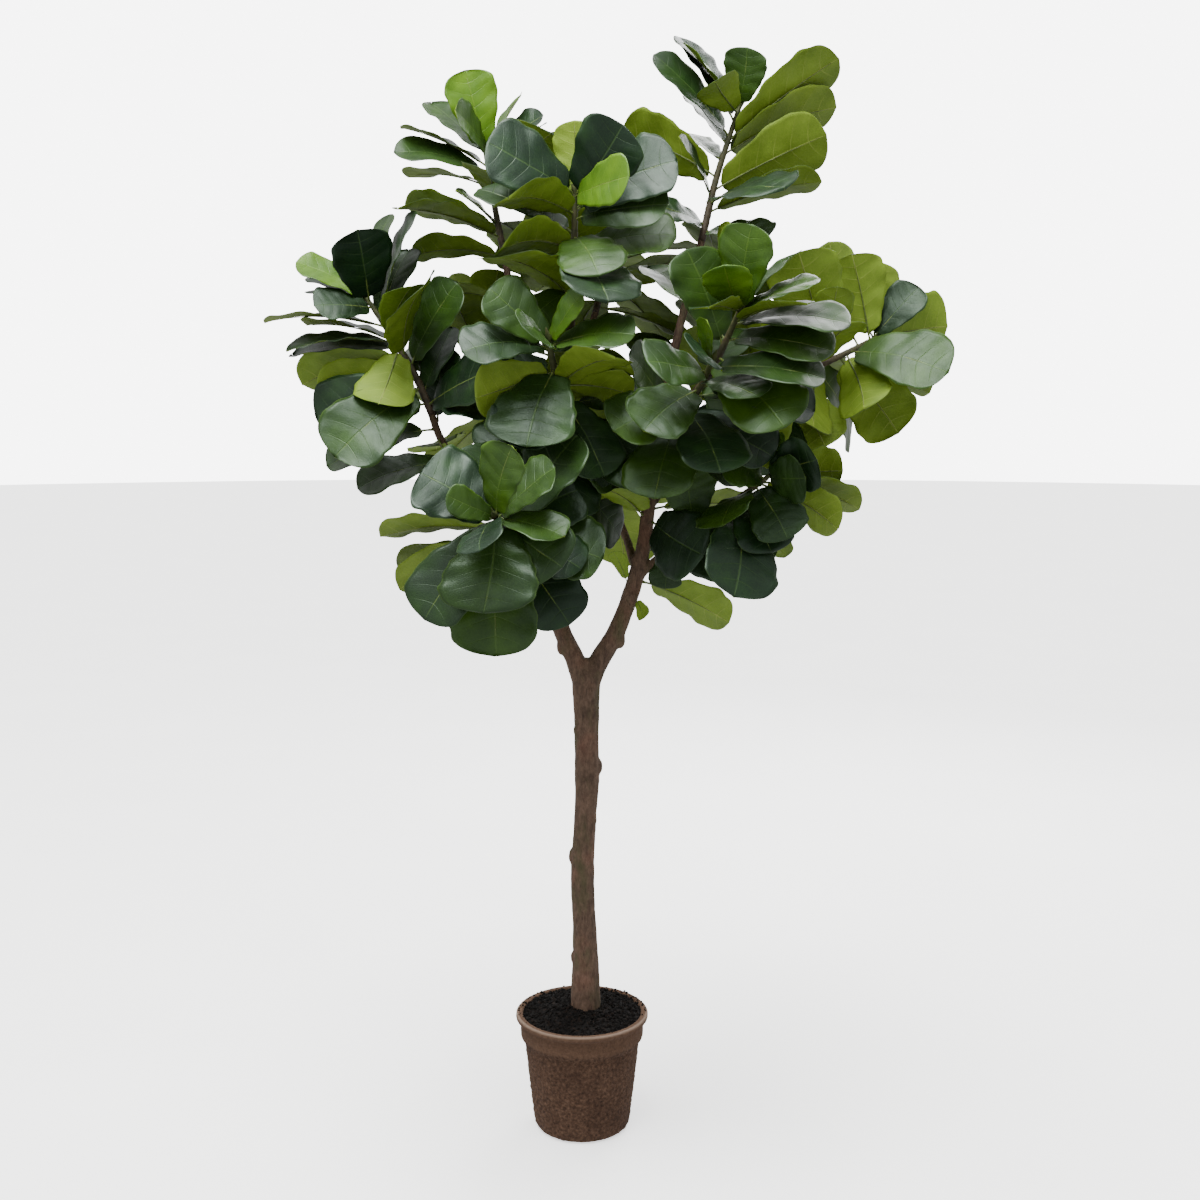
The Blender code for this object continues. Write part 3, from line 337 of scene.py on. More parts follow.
# Leaves that grow straight from the wood, each a node of its own, under the branch that they grow on: the
# same numbers, but the first is how far along the branch's wood.
WOOD_ROWS = """
right_shoot
over_fork 62 -90 -90 60 140 145 5
fork_left 68 -140 -30 0 125 130 5
limb_right_high 64 240 30 -10 145 115 7
limb_right_middle 55 230 -70 -20 145 50 8
limb_right_low 44 200 -20 -90 145 130 7
limb_right_back 50 80 190 -20 145 90 7
spur_up 40 -45 -20 70 40 150 4
spur_down 36 30 -40 -40 36 150 4
low_right_shoot
low_right_outer 98 120 20 -110 115 115 6
low_right_under 80 130 -50 -80 90 60 6
low_right_front 48 10 -150 -40 145 30 8
low_right_up 70 -30 -80 120 125 30 6
left_shoot
left_lower 88 -225 -40 -80 145 60 8
left_lowest 66 -200 -50 -60 135 60 8
left_upright 92 15 20 160 115 85 4
left_hanging 80 30 -60 -140 115 150 5
left_back 74 -40 200 -10 135 90 7
crown_shoot
leader_left 86 -190 -60 0 135 60 8
leader_right 80 190 -60 10 135 60 8
leader_front 93 30 -190 -30 135 30 8
leader_back 90 -60 190 10 135 90 7
leader_low_left 62 -180 -50 -20 135 60 8
leader_low_back 58 60 180 0 135 90 7
top_right_shoot
top_right_low 80 180 60 0 135 100 7
top_left_shoot
top_left_low 78 -180 40 20 130 100 7
far_right_shoot
far_right_top 75 -20 20 170 115 120 4
far_right_under 70 60 -70 -150 125 40 6
crown_shoot
leader_right_front 74 150 -100 -30 145 40 7
leader_right_low 66 160 -60 -80 145 35 7
leader_front_low 70 50 -150 -120 145 25 7
right_shoot
limb_left_upper 80 -150 -80 30 145 60 7
limb_left_high 86 -120 -100 120 145 35 6
limb_front 74 50 -170 -50 150 30 7
limb_front_high 83 90 -160 -80 145 30 7
limb_right_upper 78 200 -40 10 145 60 7
limb_back_high 84 -20 190 30 140 90 7
far_right_shoot
far_right_start 55 80 -100 -140 145 40 7
far_right_middle 60 100 -50 140 135 150 5
far_right_front 90 60 -100 -120 135 140 6
right_shoot
limb_front_low 60 170 -110 -20 150 60 7
limb_left_low 76 -140 -100 20 145 45 7
crown_shoot
leader_front_high 80 20 -170 -90 145 25 7
leader_left_low 72 -160 -110 -50 145 35 7
"""
# Leaves that each shoot carries in a spiral, most of them at the back
SPIRAL_LEAVES = {
    "back_left_shoot": 16, "back_right_shoot": 16, "back_top_shoot": 15, "low_back_shoot": 15,
    "top_left_shoot": 7, "crown_shoot": 6, "top_right_shoot": 5, "far_right_shoot": 7, "left_shoot": 7,
    "middle_shoot": 3, "low_front_shoot": 3, "low_right_shoot": 4, "right_shoot": 5, "front_shoot": 2,
}
WOOD_SIDES = 9  # of a branch thicker than THICK_WOOD; a thinner one has STEM_SIDES
THICK_WOOD = 0.015
STEM_SIDES = 6
RINGS_PER_SPAN = 2  # rings between two given points of the trunk or a branch
# A blade's outline: share of the way from stalk to tip, share of the full width
BLADE_OUTLINE = ((0.07, 0.46), (0.34, 0.74), (0.68, 1.00), (0.91, 0.76))
BLADE_PROPORTION = 0.64  # width of a spiral's leaf, as a share of its length
BLADE_CUP = 0.10  # how far the blade's edges stand above its midrib, as a share of half its width
GOLDEN_ANGLE = math.radians(137.5)
SPIRAL_TURN = 1.2  # where a spiral's first leaf points, in radians round the stem
SPIRAL_FIRST = 0.92  # a leaf spiral runs from here on the green stem
SPIRAL_LAST = 0.06  # to here
SPIRAL_LEAN = (38, 88)  # a leaf's angle to the stem, at the tip and where it is full grown
SPIRAL_LEAN_RATE = 1.6  # how soon down the spiral that is so
SPIRAL_REACH = (0.150, 0.250)  # a leaf's length, at the tip and where it is full grown
SPIRAL_REACH_RATE = 1.8
SPIRAL_ARCH = 0.07
ROOM = 0.0030  # room a blade keeps to its neighbours, on each side
# Turns tried for a leaf that would touch a neighbour: degrees sideways and up, nearest first
TURN_STEPS = (0, 9, 18, 27, 38, 50, 64)
TURN_DIRECTIONS = 8
ROLLS = (0, 24, -24, 48, -48)
SIZES = (1.0, 0.8, 0.6)  # sizes tried, should no turn help
SLIDES = (0, 0.03, -0.03, 0.07, -0.07, 0.12, -0.12)  # moves tried along the stem, should no size help

# ---- How fine the leaves are ----
LATERALS = 6  # pairs of side veins on a blade
ROWS_PER_LATERAL = 5
ACROSS = 14  # faces across a blade
BLADE_THICK = 0.0009
QUILT = 0.0008  # how far the blade stands up between its side veins
VEIN_SWEEP = 0.75  # how far the side veins run forward to the edge
BULGE = 0.0022  # how far the blade heaves, in lumps of BULGE_SIZE
BULGE_SIZE = 0.045
WAVE = 0.038  # the edge's ripple, as a share of the blade's half width
RIPPLES = (2.2, 1.6)  # ripples along the edge: the fewest, and how many more at most
SCALLOP = 0.022  # how far the edge goes in and out, as a share of the same
CURL = 0.16  # most that the edges curl up or down, as a share of the same
SWAY = 0.20  # most that the midrib swings to a side, as a share of the same
FULL_GROWN = 0.12  # a narrower blade has less relief
FLAT_SKIN = 0.02  # thickness of the flat unit blade, before it is laid
# Outline of a blade: share of the way from stalk to tip, share of the full width
FINE_OUTLINE = (
    (0.000, 0.12), (0.030, 0.34), (0.080, 0.48), (0.180, 0.57), (0.340, 0.74), (0.520, 0.91),
    (0.680, 1.00), (0.800, 0.99), (0.890, 0.88), (0.945, 0.66), (0.980, 0.36), (1.000, 0.015),
)
# Midrib and stalk: share of the blade from its foot (below 0 is stalk), share of the stalk's radius
RIB_PROFILE = (
    (-0.099, 1.75), (-0.085, 1.15), (-0.05, 1.0), (-0.01, 1.0), (0.05, 0.95), (0.15, 0.86), (0.28, 0.74),
    (0.42, 0.62), (0.56, 0.50), (0.70, 0.39), (0.82, 0.29), (0.93, 0.20),
)
STALK_RADIUS = 0.0024
STALK_INTO_BARK = 0.004  # how deep a stalk starts under the bark
RIB_SIDES = 7
STEM_SIDES_FINE = 14
STEM_STEP = 0.004  # between the rings of a green stem
STEM_INTO_WOOD = 0.004  # how deep a green stem starts in the wood
SCAR_SPACING = 0.017  # between the leaf scars on a green stem
SCAR_SWELL = 0.10  # how far a scar stands out, as a share of the stem's radius
BUD_SCALE_LENGTH = 0.030  # of a dry scale beside the bud
BUD_SCALE_FOOT = 0.85  # its radius at the foot, as a share of the stem's
# The bud: share of its length, share of the stem's radius
BUD_PROFILE = ((0.10, 1.28), (0.28, 1.42), (0.48, 1.18), (0.68, 0.80), (0.86, 0.42), (1.0, 0.06))
OLD_TONE = 0.30  # the most of an older leaf
# Young leaves are brighter: shoot, then place in its rows and tone
YOUNG = {
    "top_left_shoot": {0: 1.0, 2: 0.5},
    "crown_shoot": {2: 0.8},
    "top_right_shoot": {1: 0.7},
    "right_shoot": {1: 0.9, 0: 0.35},
    "front_shoot": {0: 0.8},
    "left_shoot": {0: 0.75, 7: 0.5},
    "middle_shoot": {1: 0.6},
    "low_front_shoot": {0: 0.30, 1: 0.36, 2: 0.2},
    "low_right_shoot": {0: 0.6},
    "leaf_spur_up": {0: 0.5},
    "leaf_spur_down": {0: 0.4},
}


# ---- Bench tools ----
def linear(hex_colour):
    """An sRGB hex colour as linear RGBA."""
    values = [int(hex_colour[place : place + 2], 16) / 255 for place in (1, 3, 5)]
    return (*[v / 12.92 if v <= 0.04045 else ((v + 0.055) / 1.055) ** 2.4 for v in values], 1.0)


def feed(material, socket, value):
    """Gives a socket a value, a hex colour, a node's output, or a node's first output in use."""
    if isinstance(value, bpy.types.Node):
        value = next(output for output in value.outputs if output.enabled)
    if isinstance(value, bpy.types.NodeSocket):
        material.node_tree.links.new(value, socket)
    else:
        socket.default_value = linear(value) if isinstance(value, str) else value


def add(material, kind, inputs=None, stops=(), **settings):
    """Adds a shader node with its inputs by name or number, a ramp's stops, and its other settings."""
    made = material.node_tree.nodes.new("ShaderNode" + kind)
    for name, value in settings.items():
        setattr(made, name, value)
    for _ in stops[2:]:
        made.color_ramp.elements.new(1.0)
    for number, (position, colour) in enumerate(stops):
        made.color_ramp.elements[number].position = position
        made.color_ramp.elements[number].color = linear(colour)
    for name, value in (inputs or {}).items():
        named = [socket for socket in made.inputs if socket.enabled and socket.name == name]
        feed(material, made.inputs[name] if isinstance(name, int) else named[0], value)
    return made


def blank(name):
    material = bpy.data.materials.new(name)
    material.use_nodes = True
    return material


def finished(material, colour, roughness, height, strength, depth, specular=0.5, others=None):
    """Gives the material's shader its colour, roughness and gloss, and a relief of a depth in metres."""
    shader = material.node_tree.nodes["Principled BSDF"]
    relief = add(material, "Bump", {"Height": height, "Strength": strength, "Distance": depth})
    looks = {"Base Color": colour, "Roughness": roughness, "Normal": relief, "Specular IOR Level": specular}
    for name, value in {**looks, **(others or {})}.items():
        feed(material, shader.inputs[name], value)
    return material


def placed(name, data, place=(0, 0, 0), turn=(0, 0, 0)):
    """A new object in the scene."""
    made = bpy.data.objects.new(name, data)
    made.location, made.rotation_euler = place, turn
    bpy.context.scene.collection.objects.link(made)
    return made


def only(obj):
    """Selects just this object and makes it the active one."""
    bpy.ops.object.select_all(action="DESELECT")
    obj.select_set(True)
    bpy.context.view_layer.objects.active = obj


def apply_all(obj):
    only(obj)
    for modifier in list(obj.modifiers):
        bpy.ops.object.modifier_apply(modifier=modifier.name)
    return obj


def grounded(obj):
    """Puts the object's place into its mesh."""
    only(obj)
    bpy.ops.object.transform_apply(location=True, rotation=True, scale=True)
    return obj


def joined(objects, name):
    bpy.ops.object.select_all(action="DESELECT")
    for obj in objects:
        obj.select_set(True)
    bpy.context.view_layer.objects.active = objects[0]
    if len(objects) > 1:
        bpy.ops.object.join()
    objects[0].name = name
    objects[0].data.name = name
    return objects[0]


def vertices(mesh, what="co"):
    """The places of a mesh's points, or their normals, in rows of three."""
    found = np.empty(len(mesh.vertices) * 3)
    mesh.vertices.foreach_get(what, found)
    return found.reshape(-1, 3)


def move_vertices(mesh, places):
    mesh.vertices.foreach_set("co", np.asarray(places, np.float32).ravel())
    mesh.update()


def copy_of(model, mesh_places, name):
    """A copy of a model with its own mesh, its points moved to new places."""
    mesh = model.data.copy()
    move_vertices(mesh, mesh_places)
    return placed(name, mesh)


def give_tone(obj, tones):
    """Keeps a number from 0, old, to 1, young, on each point of the mesh."""
    kept = obj.data.attributes.get("tone") or obj.data.attributes.new("tone", "FLOAT", "POINT")
    kept.data.foreach_set("value", np.broadcast_to(tones, len(obj.data.vertices)).astype(np.float32))


def lumps(points, size, seed):
    """Smooth noise at each point, about -1 to 1, with lumps of a given size in metres."""
    shift = Vector((seed * 7.31, seed * 3.17, seed * 1.73))
    return np.array([noise.noise(Vector(point) / size + shift) for point in points])


def luck(number, step):
    """A fixed number from 0 to 1 that looks drawn by chance."""
    return math.sin(number * 12.9898 + step * 78.233) * 43758.5453 % 1


def hand_over(piece, node):
    """The piece rides on the tree and stands for its CAD node."""
    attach(piece, "root")
    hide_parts(node)


# ---- Where each stem and leaf lies, found as for the solids ----
def read_rows(text):
    """For each name in a list: the name, the whole numbers beside it, and the rows of numbers under it."""
    found = []
    for words in map(str.split, text.strip().splitlines()):
        if words[0][0].isalpha():
            found.append((words[0], [int(word) for word in words[1:]], []))
        else:
            found[-1][2].append([int(word) for word in words])
    return found


# In metres: name: (points, how many of them are wood)
BRANCHES = {
    name: ([(x / 1000, y / 1000, z / 1000, radius / 10000) for x, y, z, radius in rows], wood)
    for name, (wood,), rows in read_rows(WOOD)
}
TRUNK = BRANCHES.pop("trunk")[0]


def leaf_row(along, right, back, up, width, facing, arch):
    """A leaf's row of whole numbers in metres and shares."""
    return along / 100, (right / 1000, back / 1000, up / 1000), width / 1000, facing, arch / 100


def at(points, position):
    """Place and radius at a position on a branch, counted in its points, on a smooth curve through them."""
    first = max(0, min(len(points) - 2, int(position)))
    share = position - first
    near = [points[max(0, min(len(points) - 1, first + step))] for step in (-1, 0, 1, 2)]
    value = [
        0.5
        * (
            2 * b
            + (c - a) * share
            + (2 * a - 5 * b + 4 * c - d) * share**2
            + (3 * b - a - 3 * c + d) * share**3
        )
        for a, b, c, d in zip(*near)
    ]
    return Vector(value[:3]), value[3]


def heading(points, position):
    step = 0.02
    last = len(points) - 1
    ahead = at(points, min(last, position + step))[0]
    behind = at(points, max(0, position - step))[0]
    return (ahead - behind).normalized()


def across(direction):
    """A level direction square to the given one, used as the first point of each ring."""
    side = direction.cross(Vector((0.0, 1.0, 0.0)))
    return side.normalized()


def ring(bm, centre, direction, radius, sides):
    side = across(direction)
    return [
        bm.verts.new(centre + Matrix.Rotation(math.tau * step / sides, 3, direction) @ side * radius)
        for step in range(sides)
    ]


def bridge(bm, rings):
    """Faces between each ring and the next."""
    for lower, upper in zip(rings, rings[1:]):
        for step, corner in enumerate(lower):
            after = (step + 1) % len(lower)
            bm.faces.new((corner, lower[after], upper[after], upper[step]))


def point_cap(bm, last, tip):
    point = bm.verts.new(tip)
    for step in range(len(last)):
        bm.faces.new((last[step], last[(step + 1) % len(last)], point))


def tube(points, start, end, sides, bud):
    """A closed round solid along part of a branch, flat at its start, and flat or with a bud at its end."""
    bm = bmesh.new()
    spans = max(1, round((end - start) * RINGS_PER_SPAN))
    rings = []
    for step in range(spans + 1):
        position = start + (end - start) * step / spans
        centre, radius = at(points, position)
        direction = heading(points, position)
        if bud and step == 0:
            centre = centre + direction * CLEARANCE
        rings.append(ring(bm, centre, direction, radius, sides))
    bm.faces.new(reversed(rings[0]))
    bridge(bm, rings)
    if bud:
        widest = centre + direction * BUD_LENGTH * BUD_WIDEST
        swell = ring(bm, widest, direction, radius * BUD_SWELL, sides)
        bridge(bm, [rings[-1], swell])
        point_cap(bm, swell, centre + direction * BUD_LENGTH)
    else:
        bm.faces.new(rings[-1])
    return bm


def upper_face(reach, facing):
    """The way the upper face looks, square to the reach: from the front over the sky to the back."""
    way = reach.normalized()
    front = Vector((0.0, -1.0, 0.0))
    front = (front - way * front.dot(way)).normalized()
    sky = way.cross(front)
    if sky.z < 0:
        sky = -sky
    turn = math.radians(facing)
    return front * math.cos(turn) + sky * math.sin(turn)


def skyward(reach):
    way = reach.normalized()
    up = Vector((0.0, 0.0, 1.0))
    return (up - way * up.dot(way)).normalized()


def leaf_frame(leaf, share):
    """At a share of the reach: midrib point and direction, the blade's upper normal, and its way sideways."""
    root, reach, face, arch = leaf["root"], leaf["reach"], leaf["face"], leaf["arch"]
    rise = arch * reach.length
    centre = root + reach * share + face * rise * 4 * share * (1 - share)
    way = (reach + face * rise * 4 * (1 - 2 * share)).normalized()
    normal = (face - way * face.dot(way)).normalized()
    return centre, way, normal, way.cross(normal)


def section(bm, leaf, share, half_width, half_height):
    """One ring of a leaf: midrib above, one edge, midrib below, the other edge."""
    centre, _, normal, side = leaf_frame(leaf, share)
    lift = normal * half_width * BLADE_CUP
    return [
        bm.verts.new(centre + normal * half_height),
        bm.verts.new(centre + side * half_width + lift),
        bm.verts.new(centre - normal * half_height),
        bm.verts.new(centre - side * half_width + lift),
    ]


def blade_rings(bm, leaf, spare):
    """The blade's rings, with some spare thickness and width when room round it is tested."""
    thick = LEAF_THICKNESS / 2 + spare
    rings = []
    for share, width in BLADE_OUTLINE:
        place = PETIOLE_SHARE + (1 - PETIOLE_SHARE) * share
        rings.append(section(bm, leaf, place, leaf["width"] / 2 * width + spare, thick * (1 - share / 2)))
    return rings


def stalk_rings(bm, leaf):
    """The stalk's two rings. On wood the first lies flat against the bark."""
    if leaf["bark"] is None:
        first = section(bm, leaf, 0.0, PETIOLE_RADIUS, PETIOLE_RADIUS)
    else:
        first = ring(bm, leaf["root"], leaf["bark"], PETIOLE_RADIUS * PETIOLE_FOOT, 4)
        first = matched(first, leaf)
    return [first, section(bm, leaf, PETIOLE_SHARE, PETIOLE_RADIUS, PETIOLE_RADIUS)]


def matched(first, leaf):
    """Turns a ring's order so that it starts nearest the blade's upper side and runs the same way."""
    _, _, normal, side = leaf_frame(leaf, 0.0)
    centre = leaf["root"]
    top = max(first, key=lambda vert: (vert.co - centre).dot(normal))
    start = first.index(top)
    order = first[start:] + first[:start]
    if (order[1].co - centre).dot(side) < (order[3].co - centre).dot(side):
        order = [order[0], order[3], order[2], order[1]]
    return order


def tree_of(bm):
    tree = BVHTree.FromBMesh(bm)
    bm.free()
    return tree


def blade_room(leaf):
    bm = bmesh.new()
    rings = blade_rings(bm, leaf, ROOM / 2)
    bm.faces.new(reversed(rings[0]))
    bridge(bm, rings)
    point_cap(bm, rings[-1], leaf["root"] + leaf["reach"])
    return tree_of(bm)


def stalk_room(leaf):
    bm = bmesh.new()
    rings = stalk_rings(bm, leaf) + blade_rings(bm, leaf, 0.0)[:1]
    bridge(bm, rings)
    return tree_of(bm)


def turned(leaf, sideways, upward, roll, size):
    """A copy of the leaf turned about its root, at a share of its size."""
    way = leaf["reach"].normalized()
    side = way.cross(leaf["face"])
    swing = Matrix.Rotation(math.radians(sideways), 3, leaf["face"])
    lift = Matrix.Rotation(math.radians(upward), 3, side)
    spin = Matrix.Rotation(math.radians(roll), 3, way)
    copy = dict(leaf)
    copy["reach"] = swing @ lift @ leaf["reach"] * size
    copy["width"] = leaf["width"] * size
    copy["face"] = swing @ lift @ spin @ leaf["face"]
    return copy


def tries(leaf):
    """The leaf as drawn, then turned by more and more, then smaller."""
    for size in SIZES:
        for turn in TURN_STEPS:
            directions = TURN_DIRECTIONS if turn else 1
            for roll in ROLLS:
                for step in range(directions):
                    angle = math.tau * step / TURN_DIRECTIONS
                    sideways = turn * math.cos(angle)
                    yield turned(leaf, sideways, turn * math.sin(angle), roll, size)


def settle(grow, along, stems, blades, stalks):
    """Grows a leaf clear of all stems, blades and stalks that are there already."""
    places = [grow(max(0.0, min(1.0, along + slide))) for slide in SLIDES]
    for copy in (copy for leaf in places for copy in tries(leaf)):
        blade = blade_room(copy)
        if any(blade.overlap(tree) for tree in stems.values()):
            continue
        if any(blade.overlap(tree) for tree in blades + stalks):
            continue
        stalk = stalk_room(copy)
        others = [tree for owner, tree in stems.items() if copy["bark"] or owner != copy["branch"]]
        if any(stalk.overlap(tree) for tree in others + blades):
            continue
        blades.append(blade)
        stalks.append(stalk)
        return copy
    raise ValueError("no room for a leaf on " + places[0]["branch"])


def leaf_on_stem(branch, reach, width, facing, arch, along):
    points, wood = BRANCHES[branch]
    root = at(points, wood - 1 + along * (len(points) - wood))[0]
    reach = Vector(reach)
    face = upper_face(reach, facing)
    return dict(branch=branch, root=root, reach=reach, width=width, face=face, arch=arch, bark=None)


def leaf_on_wood(branch, reach, width, facing, arch, along):
    points, wood = BRANCHES[branch]
    position = along * (wood - 1)
    centre, radius = at(points, position)
    axis = heading(points, position)
    reach = Vector(reach)
    outward = (reach - axis * axis.dot(reach)).normalized()
    root = centre + outward * (radius + CLEARANCE)
    reach = reach - (root - centre)
    face = upper_face(reach, facing)
    return dict(branch="wood", root=root, reach=reach, width=width, face=face, arch=arch, bark=outward)


def between(ends, share):
    """The value at a share of the way from the first end to the second, and no further."""
    return ends[0] + (ends[1] - ends[0]) * min(1.0, share)


def spiral_leaf(branch, share, number, along):
    """One leaf of a spiral: long and level near the stem's start, short and steep near its tip."""
    points, wood = BRANCHES[branch]
    position = wood - 1 + along * (len(points) - wood)
    axis = heading(points, position)
    lean = math.radians(between(SPIRAL_LEAN, share * SPIRAL_LEAN_RATE))
    length = between(SPIRAL_REACH, share * SPIRAL_REACH_RATE)
    outward = Matrix.Rotation(number * GOLDEN_ANGLE + SPIRAL_TURN, 3, axis) @ across(axis)
    reach = (axis * math.cos(lean) + outward * math.sin(lean)) * length
    return dict(
        branch=branch, root=at(points, position)[0], reach=reach, width=length * BLADE_PROPORTION,
        face=skyward(reach), arch=SPIRAL_ARCH, bark=None,
    )


def settled_leaves():
    """All leaves by the name of their shoot or node, each turned clear of the others."""
    stems = {"wood": tree_of(wood_mesh_parts())}
    for branch, (points, wood) in BRANCHES.items():
        stems[branch] = tree_of(tube(points, wood - 1, len(points) - 1, STEM_SIDES, True))
    blades = []
    stalks = []
    leaves = {branch: [] for branch in BRANCHES}
    for branch, _, rows in read_rows(SHOOT_ROWS):
        for row in rows:
            along, *shape = leaf_row(*row)
            leaves[branch].append(settle(partial(leaf_on_stem, branch, *shape), along, stems, blades, stalks))
    for name, numbers, _ in read_rows(WOOD_ROWS):
        if not numbers:
            branch = name
            continue
        along, *shape = leaf_row(*numbers)
        leaves["leaf_" + name] = [settle(partial(leaf_on_wood, branch, *shape), along, stems, blades, stalks)]
    for branch, count in SPIRAL_LEAVES.items():
        for number in range(count):
            share = number / max(1, count - 1)
            along = SPIRAL_FIRST + (SPIRAL_LAST - SPIRAL_FIRST) * share
            grow = partial(spiral_leaf, branch, share, number)
            leaves[branch].append(settle(grow, along, stems, blades, stalks))
    return leaves


def trunk_mesh():
    bm = bmesh.new()
    centre, radius = at(TRUNK, 0)
    up = Vector((0.0, 0.0, 1.0))
    rings = [ring(bm, centre - up * TRUNK_FOOT_DEPTH, up, radius, TRUNK_SIDES)]
    last = len(TRUNK) - 1
    for step in range(last * RINGS_PER_SPAN + 1):
        position = step / RINGS_PER_SPAN
        centre, radius = at(TRUNK, position)
        direction = up if step == 0 else heading(TRUNK, position)
        rings.append(ring(bm, centre, direction, radius, TRUNK_SIDES))
    bm.faces.new(reversed(rings[0]))
    bridge(bm, rings)
    bm.faces.new(rings[-1])
    return bm


def wood_mesh_parts():
    """The trunk and all branches in one mesh, not yet united, to test room against."""
    bm = trunk_mesh()
    for points, wood in BRANCHES.values():
        thick = max(point[3] for point in points) > THICK_WOOD
        part = tube(points, 0, wood - 1, WOOD_SIDES if thick else STEM_SIDES, False)
        mesh = bpy.data.meshes.new("part")
        part.to_mesh(mesh)
        part.free()
        bm.from_mesh(mesh)
        bpy.data.meshes.remove(mesh)
    return bm


# ---- The leaf: blade and midrib are modelled straight once, then laid along each leaf's own line ----
def outline(along):
    """Share of the full half width at each place along the blade, on a smooth curve."""
    shares, widths = np.array(FINE_OUTLINE).T
    slopes = np.gradient(widths, shares)
    slopes[0], slopes[-1] = 8.0, -18.0
    index = np.clip(np.searchsorted(shares, along, side="right") - 1, 0, len(shares) - 2)
    step = shares[index + 1] - shares[index]
    t = np.clip((along - shares[index]) / step, 0, 1)
    return (
        (2 * t**3 - 3 * t**2 + 1) * widths[index]
        + (t**3 - 2 * t**2 + t) * step * slopes[index]
        + (3 * t**2 - 2 * t**3) * widths[index + 1]
        + (t**3 - t**2) * step * slopes[index + 1]
    )


def make_flat_blade():
    """A unit blade: X across from -1 to 1, Y along from 0 to 1, its rows swept like the side veins."""
    rows = LATERALS * ROWS_PER_LATERAL
    bpy.ops.mesh.primitive_grid_add(x_subdivisions=ACROSS, y_subdivisions=rows, size=2.0)
    blade = bpy.context.object
    places = vertices(blade.data)
    # The faces get a little narrower to the edge, and their rows run forward to it as the side veins do.
    across = np.sign(places[:, 0]) * np.abs(places[:, 0]) ** 0.85
    row = (places[:, 1] + 1) / 2
    side = np.abs(across)
    along = row + VEIN_SWEEP * side**1.25 * row * (1 - row)
    crest = 0.5 - 0.5 * np.cos(math.tau * row * LATERALS)
    ends = np.sin(math.pi * np.clip(row, 0.02, 0.98)) ** 0.5
    # The quilting fades at the midrib and the edge. It is kept apart, so that the sheet is thickened flat.
    quilt = crest * np.clip(side * 3.2, 0, 1) * (1 - 0.55 * side**3) * ends
    blade.data.attributes.new("quilt", "FLOAT", "POINT").data.foreach_set("value", quilt)
    move_vertices(blade.data, np.column_stack((across, along, np.zeros(len(row)))))
    corners = np.empty(len(blade.data.loops), np.int32)
    blade.data.loops.foreach_get("vertex_index", corners)
    chart = np.column_stack((across[corners] * 0.5 + 0.5, row[corners]))
    blade.data.uv_layers["UVMap"].data.foreach_set("uv", chart.astype(np.float32).ravel())
    skin = blade.modifiers.new("skin", "SOLIDIFY")
    skin.thickness, skin.offset = FLAT_SKIN, 0.0
    apply_all(blade)
    # Slot 0 is the upper face and the edge, slot 1 the underside.
    slots = [1 if polygon.normal.z < -0.5 else 0 for polygon in blade.data.polygons]
    blade.data.polygons.foreach_set("material_index", slots)
    return blade


def make_rod(sides, cuts):
    """A straight round rod one unit long and one in radius, cut into even rings, to be laid along a line."""
    bpy.ops.mesh.primitive_cylinder_add(vertices=sides, radius=1.0, depth=1.0, location=(0, 0, 0.5))
    rod = grounded(bpy.context.object)
    bpy.ops.object.mode_set(mode="EDIT")
    bpy.ops.mesh.select_all(action="DESELECT")
    shape = bmesh.from_edit_mesh(rod.data)
    for edge in shape.edges:
        edge.select = abs(edge.verts[0].co.z - edge.verts[1].co.z) > 0.5
    bmesh.update_edit_mesh(rod.data)
    bpy.ops.mesh.subdivide(number_cuts=cuts)
    bpy.ops.object.mode_set(mode="OBJECT")
    return rod


def lay_rod(rod, name, centres, ups, sides, radii):
    """A copy of the rod with each ring at its centre, square to its line, at its radius."""
    places = vertices(rod.data)
    ring_number = np.rint(places[:, 2] * (len(centres) - 1)).astype(int)
    turn = np.arctan2(places[:, 1], places[:, 0])
    out = ups[ring_number] * np.cos(turn)[:, None] + sides[ring_number] * np.sin(turn)[:, None]
    return copy_of(rod, centres[ring_number] + out * radii[ring_number][:, None], name)


def midrib(leaf, share):
    """Midrib points, the blade's upper normals and its sideways directions, for many shares at once."""
    root, reach, face = (np.array(leaf[key]) for key in ("root", "reach", "face"))
    share = np.asarray(share)[:, None]
    rise = leaf["arch"] * np.linalg.norm(reach)
    centre = root + reach * share + face * rise * 4 * share * (1 - share)
    way = reach + face * rise * 4 * (1 - 2 * share)
    way /= np.linalg.norm(way, axis=1)[:, None]
    normal = face - way * (way @ face)[:, None]
    normal /= np.linalg.norm(normal, axis=1)[:, None]
    return centre, normal, np.cross(way, normal)


def sway(leaf, along):
    """How far the midrib swings to one side, so that no leaf is quite straight."""
    swing = SWAY * (luck(leaf["number"], 4) - 0.5)
    return leaf["width"] / 2 * swing * np.sin(math.pi * np.clip(along, 0, 1))


